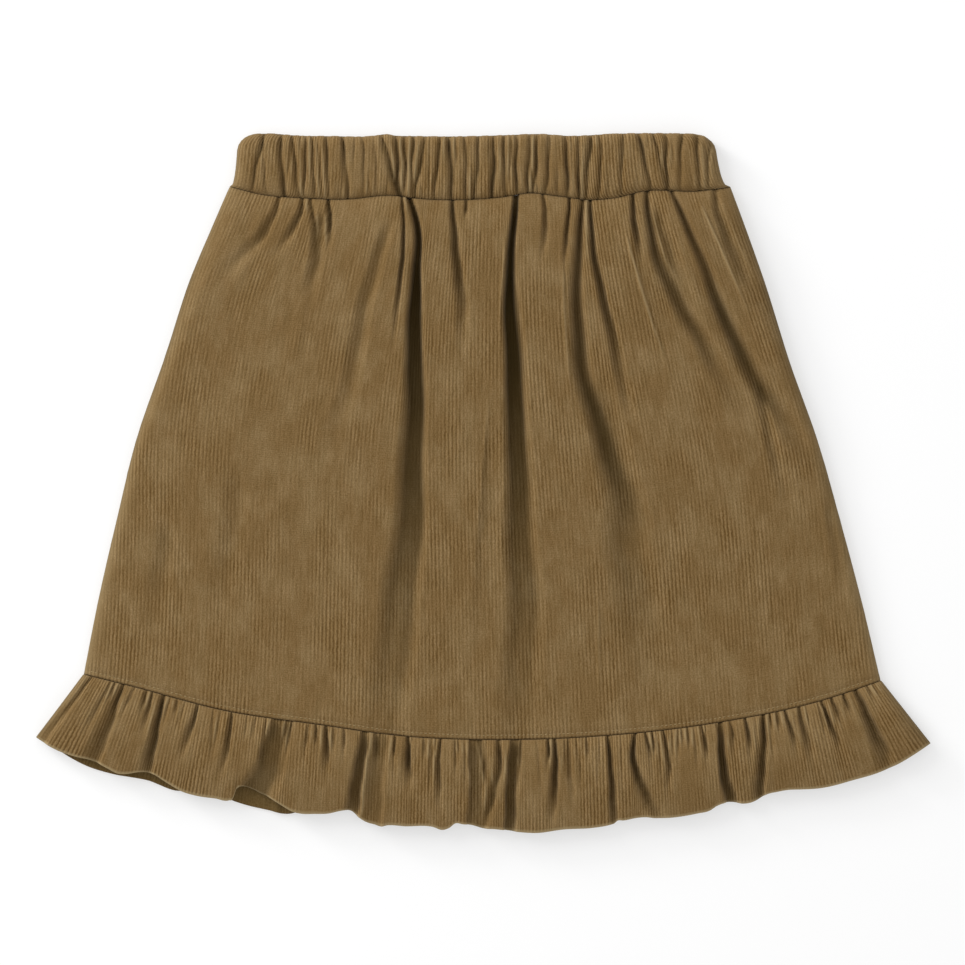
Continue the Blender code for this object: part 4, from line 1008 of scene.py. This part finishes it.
def small_band_gathers(count, seed):
    """Small creases between the large ones; most leave the top edge or the seam and soon end."""
    pick = np.random.default_rng(seed).uniform
    gathers = []
    for i in range(count):
        at = -100 + 196 * (i + pick(-0.4, 0.4)) / (count - 1)
        start, end = ((0.0, pick(0.3, 0.7)), (pick(0.4, 0.7), 1.0), (0.0, 1.0))[i % 3]
        gathers.append(Gather(at, pick(-3, 3), pick(0.35, 0.9), start, end))
    return gathers


def back_band_gathers():
    """The gathers across the back of the band, drawn up evenly by the same elastic."""
    spacing, count = 6.3, 32
    gathers = []
    for i in range(count):
        at = (i - (count - 1) / 2) * spacing + 1.5 * math.sin(2.1 * i)
        gathers.append(Gather(at, 1.6 * math.sin(1.3 * i), 1.0 + 0.4 * math.sin(2.9 * i)))
    return gathers


# How full the band is from its top edge to the seam.
BAND_CREST = table(
    "down full", (0, 0.22), (0.03, 0.62), (0.1, 0.95), (0.35, 1), (0.7, 1), (0.93, 0.92),
    (1, 0.6),
)


def band_front_face(across, down):
    """The band's outer face, and the flat face that its back half lies against."""
    x, y = band_place(across, down)
    gathers = BAND_GATHERS + small_band_gathers(52, 6)
    full = BAND_WALL + BAND_PUFF - band_gather_depth(x, down, gathers, BAND_DEEPEST)
    high = BAND_FRONT_LOW + BAND_LEAST + full * band_swell(across, down)
    notch = band_gather_depth(x, 0.0 * down, gathers, NOTCH_DEEPEST) * (1 - down) ** 3
    return np.stack([x, y - NOTCH_SHARE * notch, high], axis=-1), 0.0 * x + BAND_FRONT_LOW


def band_back_face(across, down):
    """The band's back half: the flat face that lies against the front, over a gathered one."""
    x, y = band_place(across, down)
    creases = band_gather_depth(x, down, back_band_gathers(), BACK_DEEPEST)
    underside = BACK_ROUND * (1 - band_swell(across, down)) + creases
    return np.stack([x, y, 0.0 * x + BAND_WALL], axis=-1), underside


BAND_ROWS = np.array([0, 0.015, 0.04, 0.08, 0.14, 0.22, 0.32, 0.44, 0.56, 0.68, 0.8, 0.9, 0.96, 1.0])
BAND_CUT = 290.0  # length of each half between its side seams, before the elastic draws it up
waistband_front = cord_piece(
    "waistband_front_cloth", band_front_face, BAND_ROWS, cut_width=BAND_CUT, filled=True
)
waistband_back = cord_piece(
    "waistband_back_cloth", band_back_face, BAND_ROWS, cut_width=BAND_CUT, right_side_up=False,
    filled=True,
)
for piece, node, under in (
    (waistband_front, "waistband_front", waistband_back),
    (waistband_back, "waistband_back", "floor"),
):
    stands_for(piece, node)


# ================ studio
# A white table top that is lit a little from below, so shadows on it are faint, with soft light
# from the upper left and a camera straight above.
FLOOR_GAP = 0.0002  # below the cloth
bpy.ops.mesh.primitive_plane_add(size=6.0, location=(0, 0, -FLOOR_GAP))
floor = bpy.context.object
floor.name = "floor"
# White acrylic that glows a little from below, so it looks even and shows no reflections.
white, _ = new_material(
    "lit_white_acrylic_matt",
    {
        "Base Color": srgb("#B4B4B4"), "Roughness": 0.9, "Specular IOR Level": 0.1,
        "Emission Color": srgb("#FFFFFF"), "Emission Strength": 0.5,
    },
)
floor.data.materials.append(white)

world = bpy.data.worlds.new("studio")
world.use_nodes = True
background = world.node_tree.nodes["Background"]
background.inputs["Color"].default_value = (1, 1, 1, 1)
background.inputs["Strength"].default_value = 0.8
bpy.context.scene.world = world


def soft_light(name, place, size, energy):
    """A round diffuser lit from behind, turned to the middle of the table."""
    light = bpy.data.lights.new(name, "AREA")
    light.shape = "DISK"
    light.size = size
    light.energy = energy
    lamp = add_object(name, light)
    lamp.location = place
    lamp.rotation_euler = (-lamp.location).to_track_quat("-Z", "Y").to_euler()


soft_light("key_light", (-1.35, 1.0, 0.95), 1.2, 19)
soft_light("low_light", (-1.55, 1.15, 0.52), 0.4, 16)

camera = bpy.data.cameras.new("camera")
camera.lens = 150
camera.sensor_width = 36
PICTURE_WIDTH = 0.4085  # seen at the height of the cloth's middle
CLOTH_MIDDLE = 0.004
camera_object = add_object("camera", camera)
camera_high = camera.lens / camera.sensor_width * PICTURE_WIDTH + CLOTH_MIDDLE
camera_object.location = (0, 0, camera_high)
bpy.context.scene.camera = camera_object
bpy.context.scene.view_settings.view_transform = "Standard"
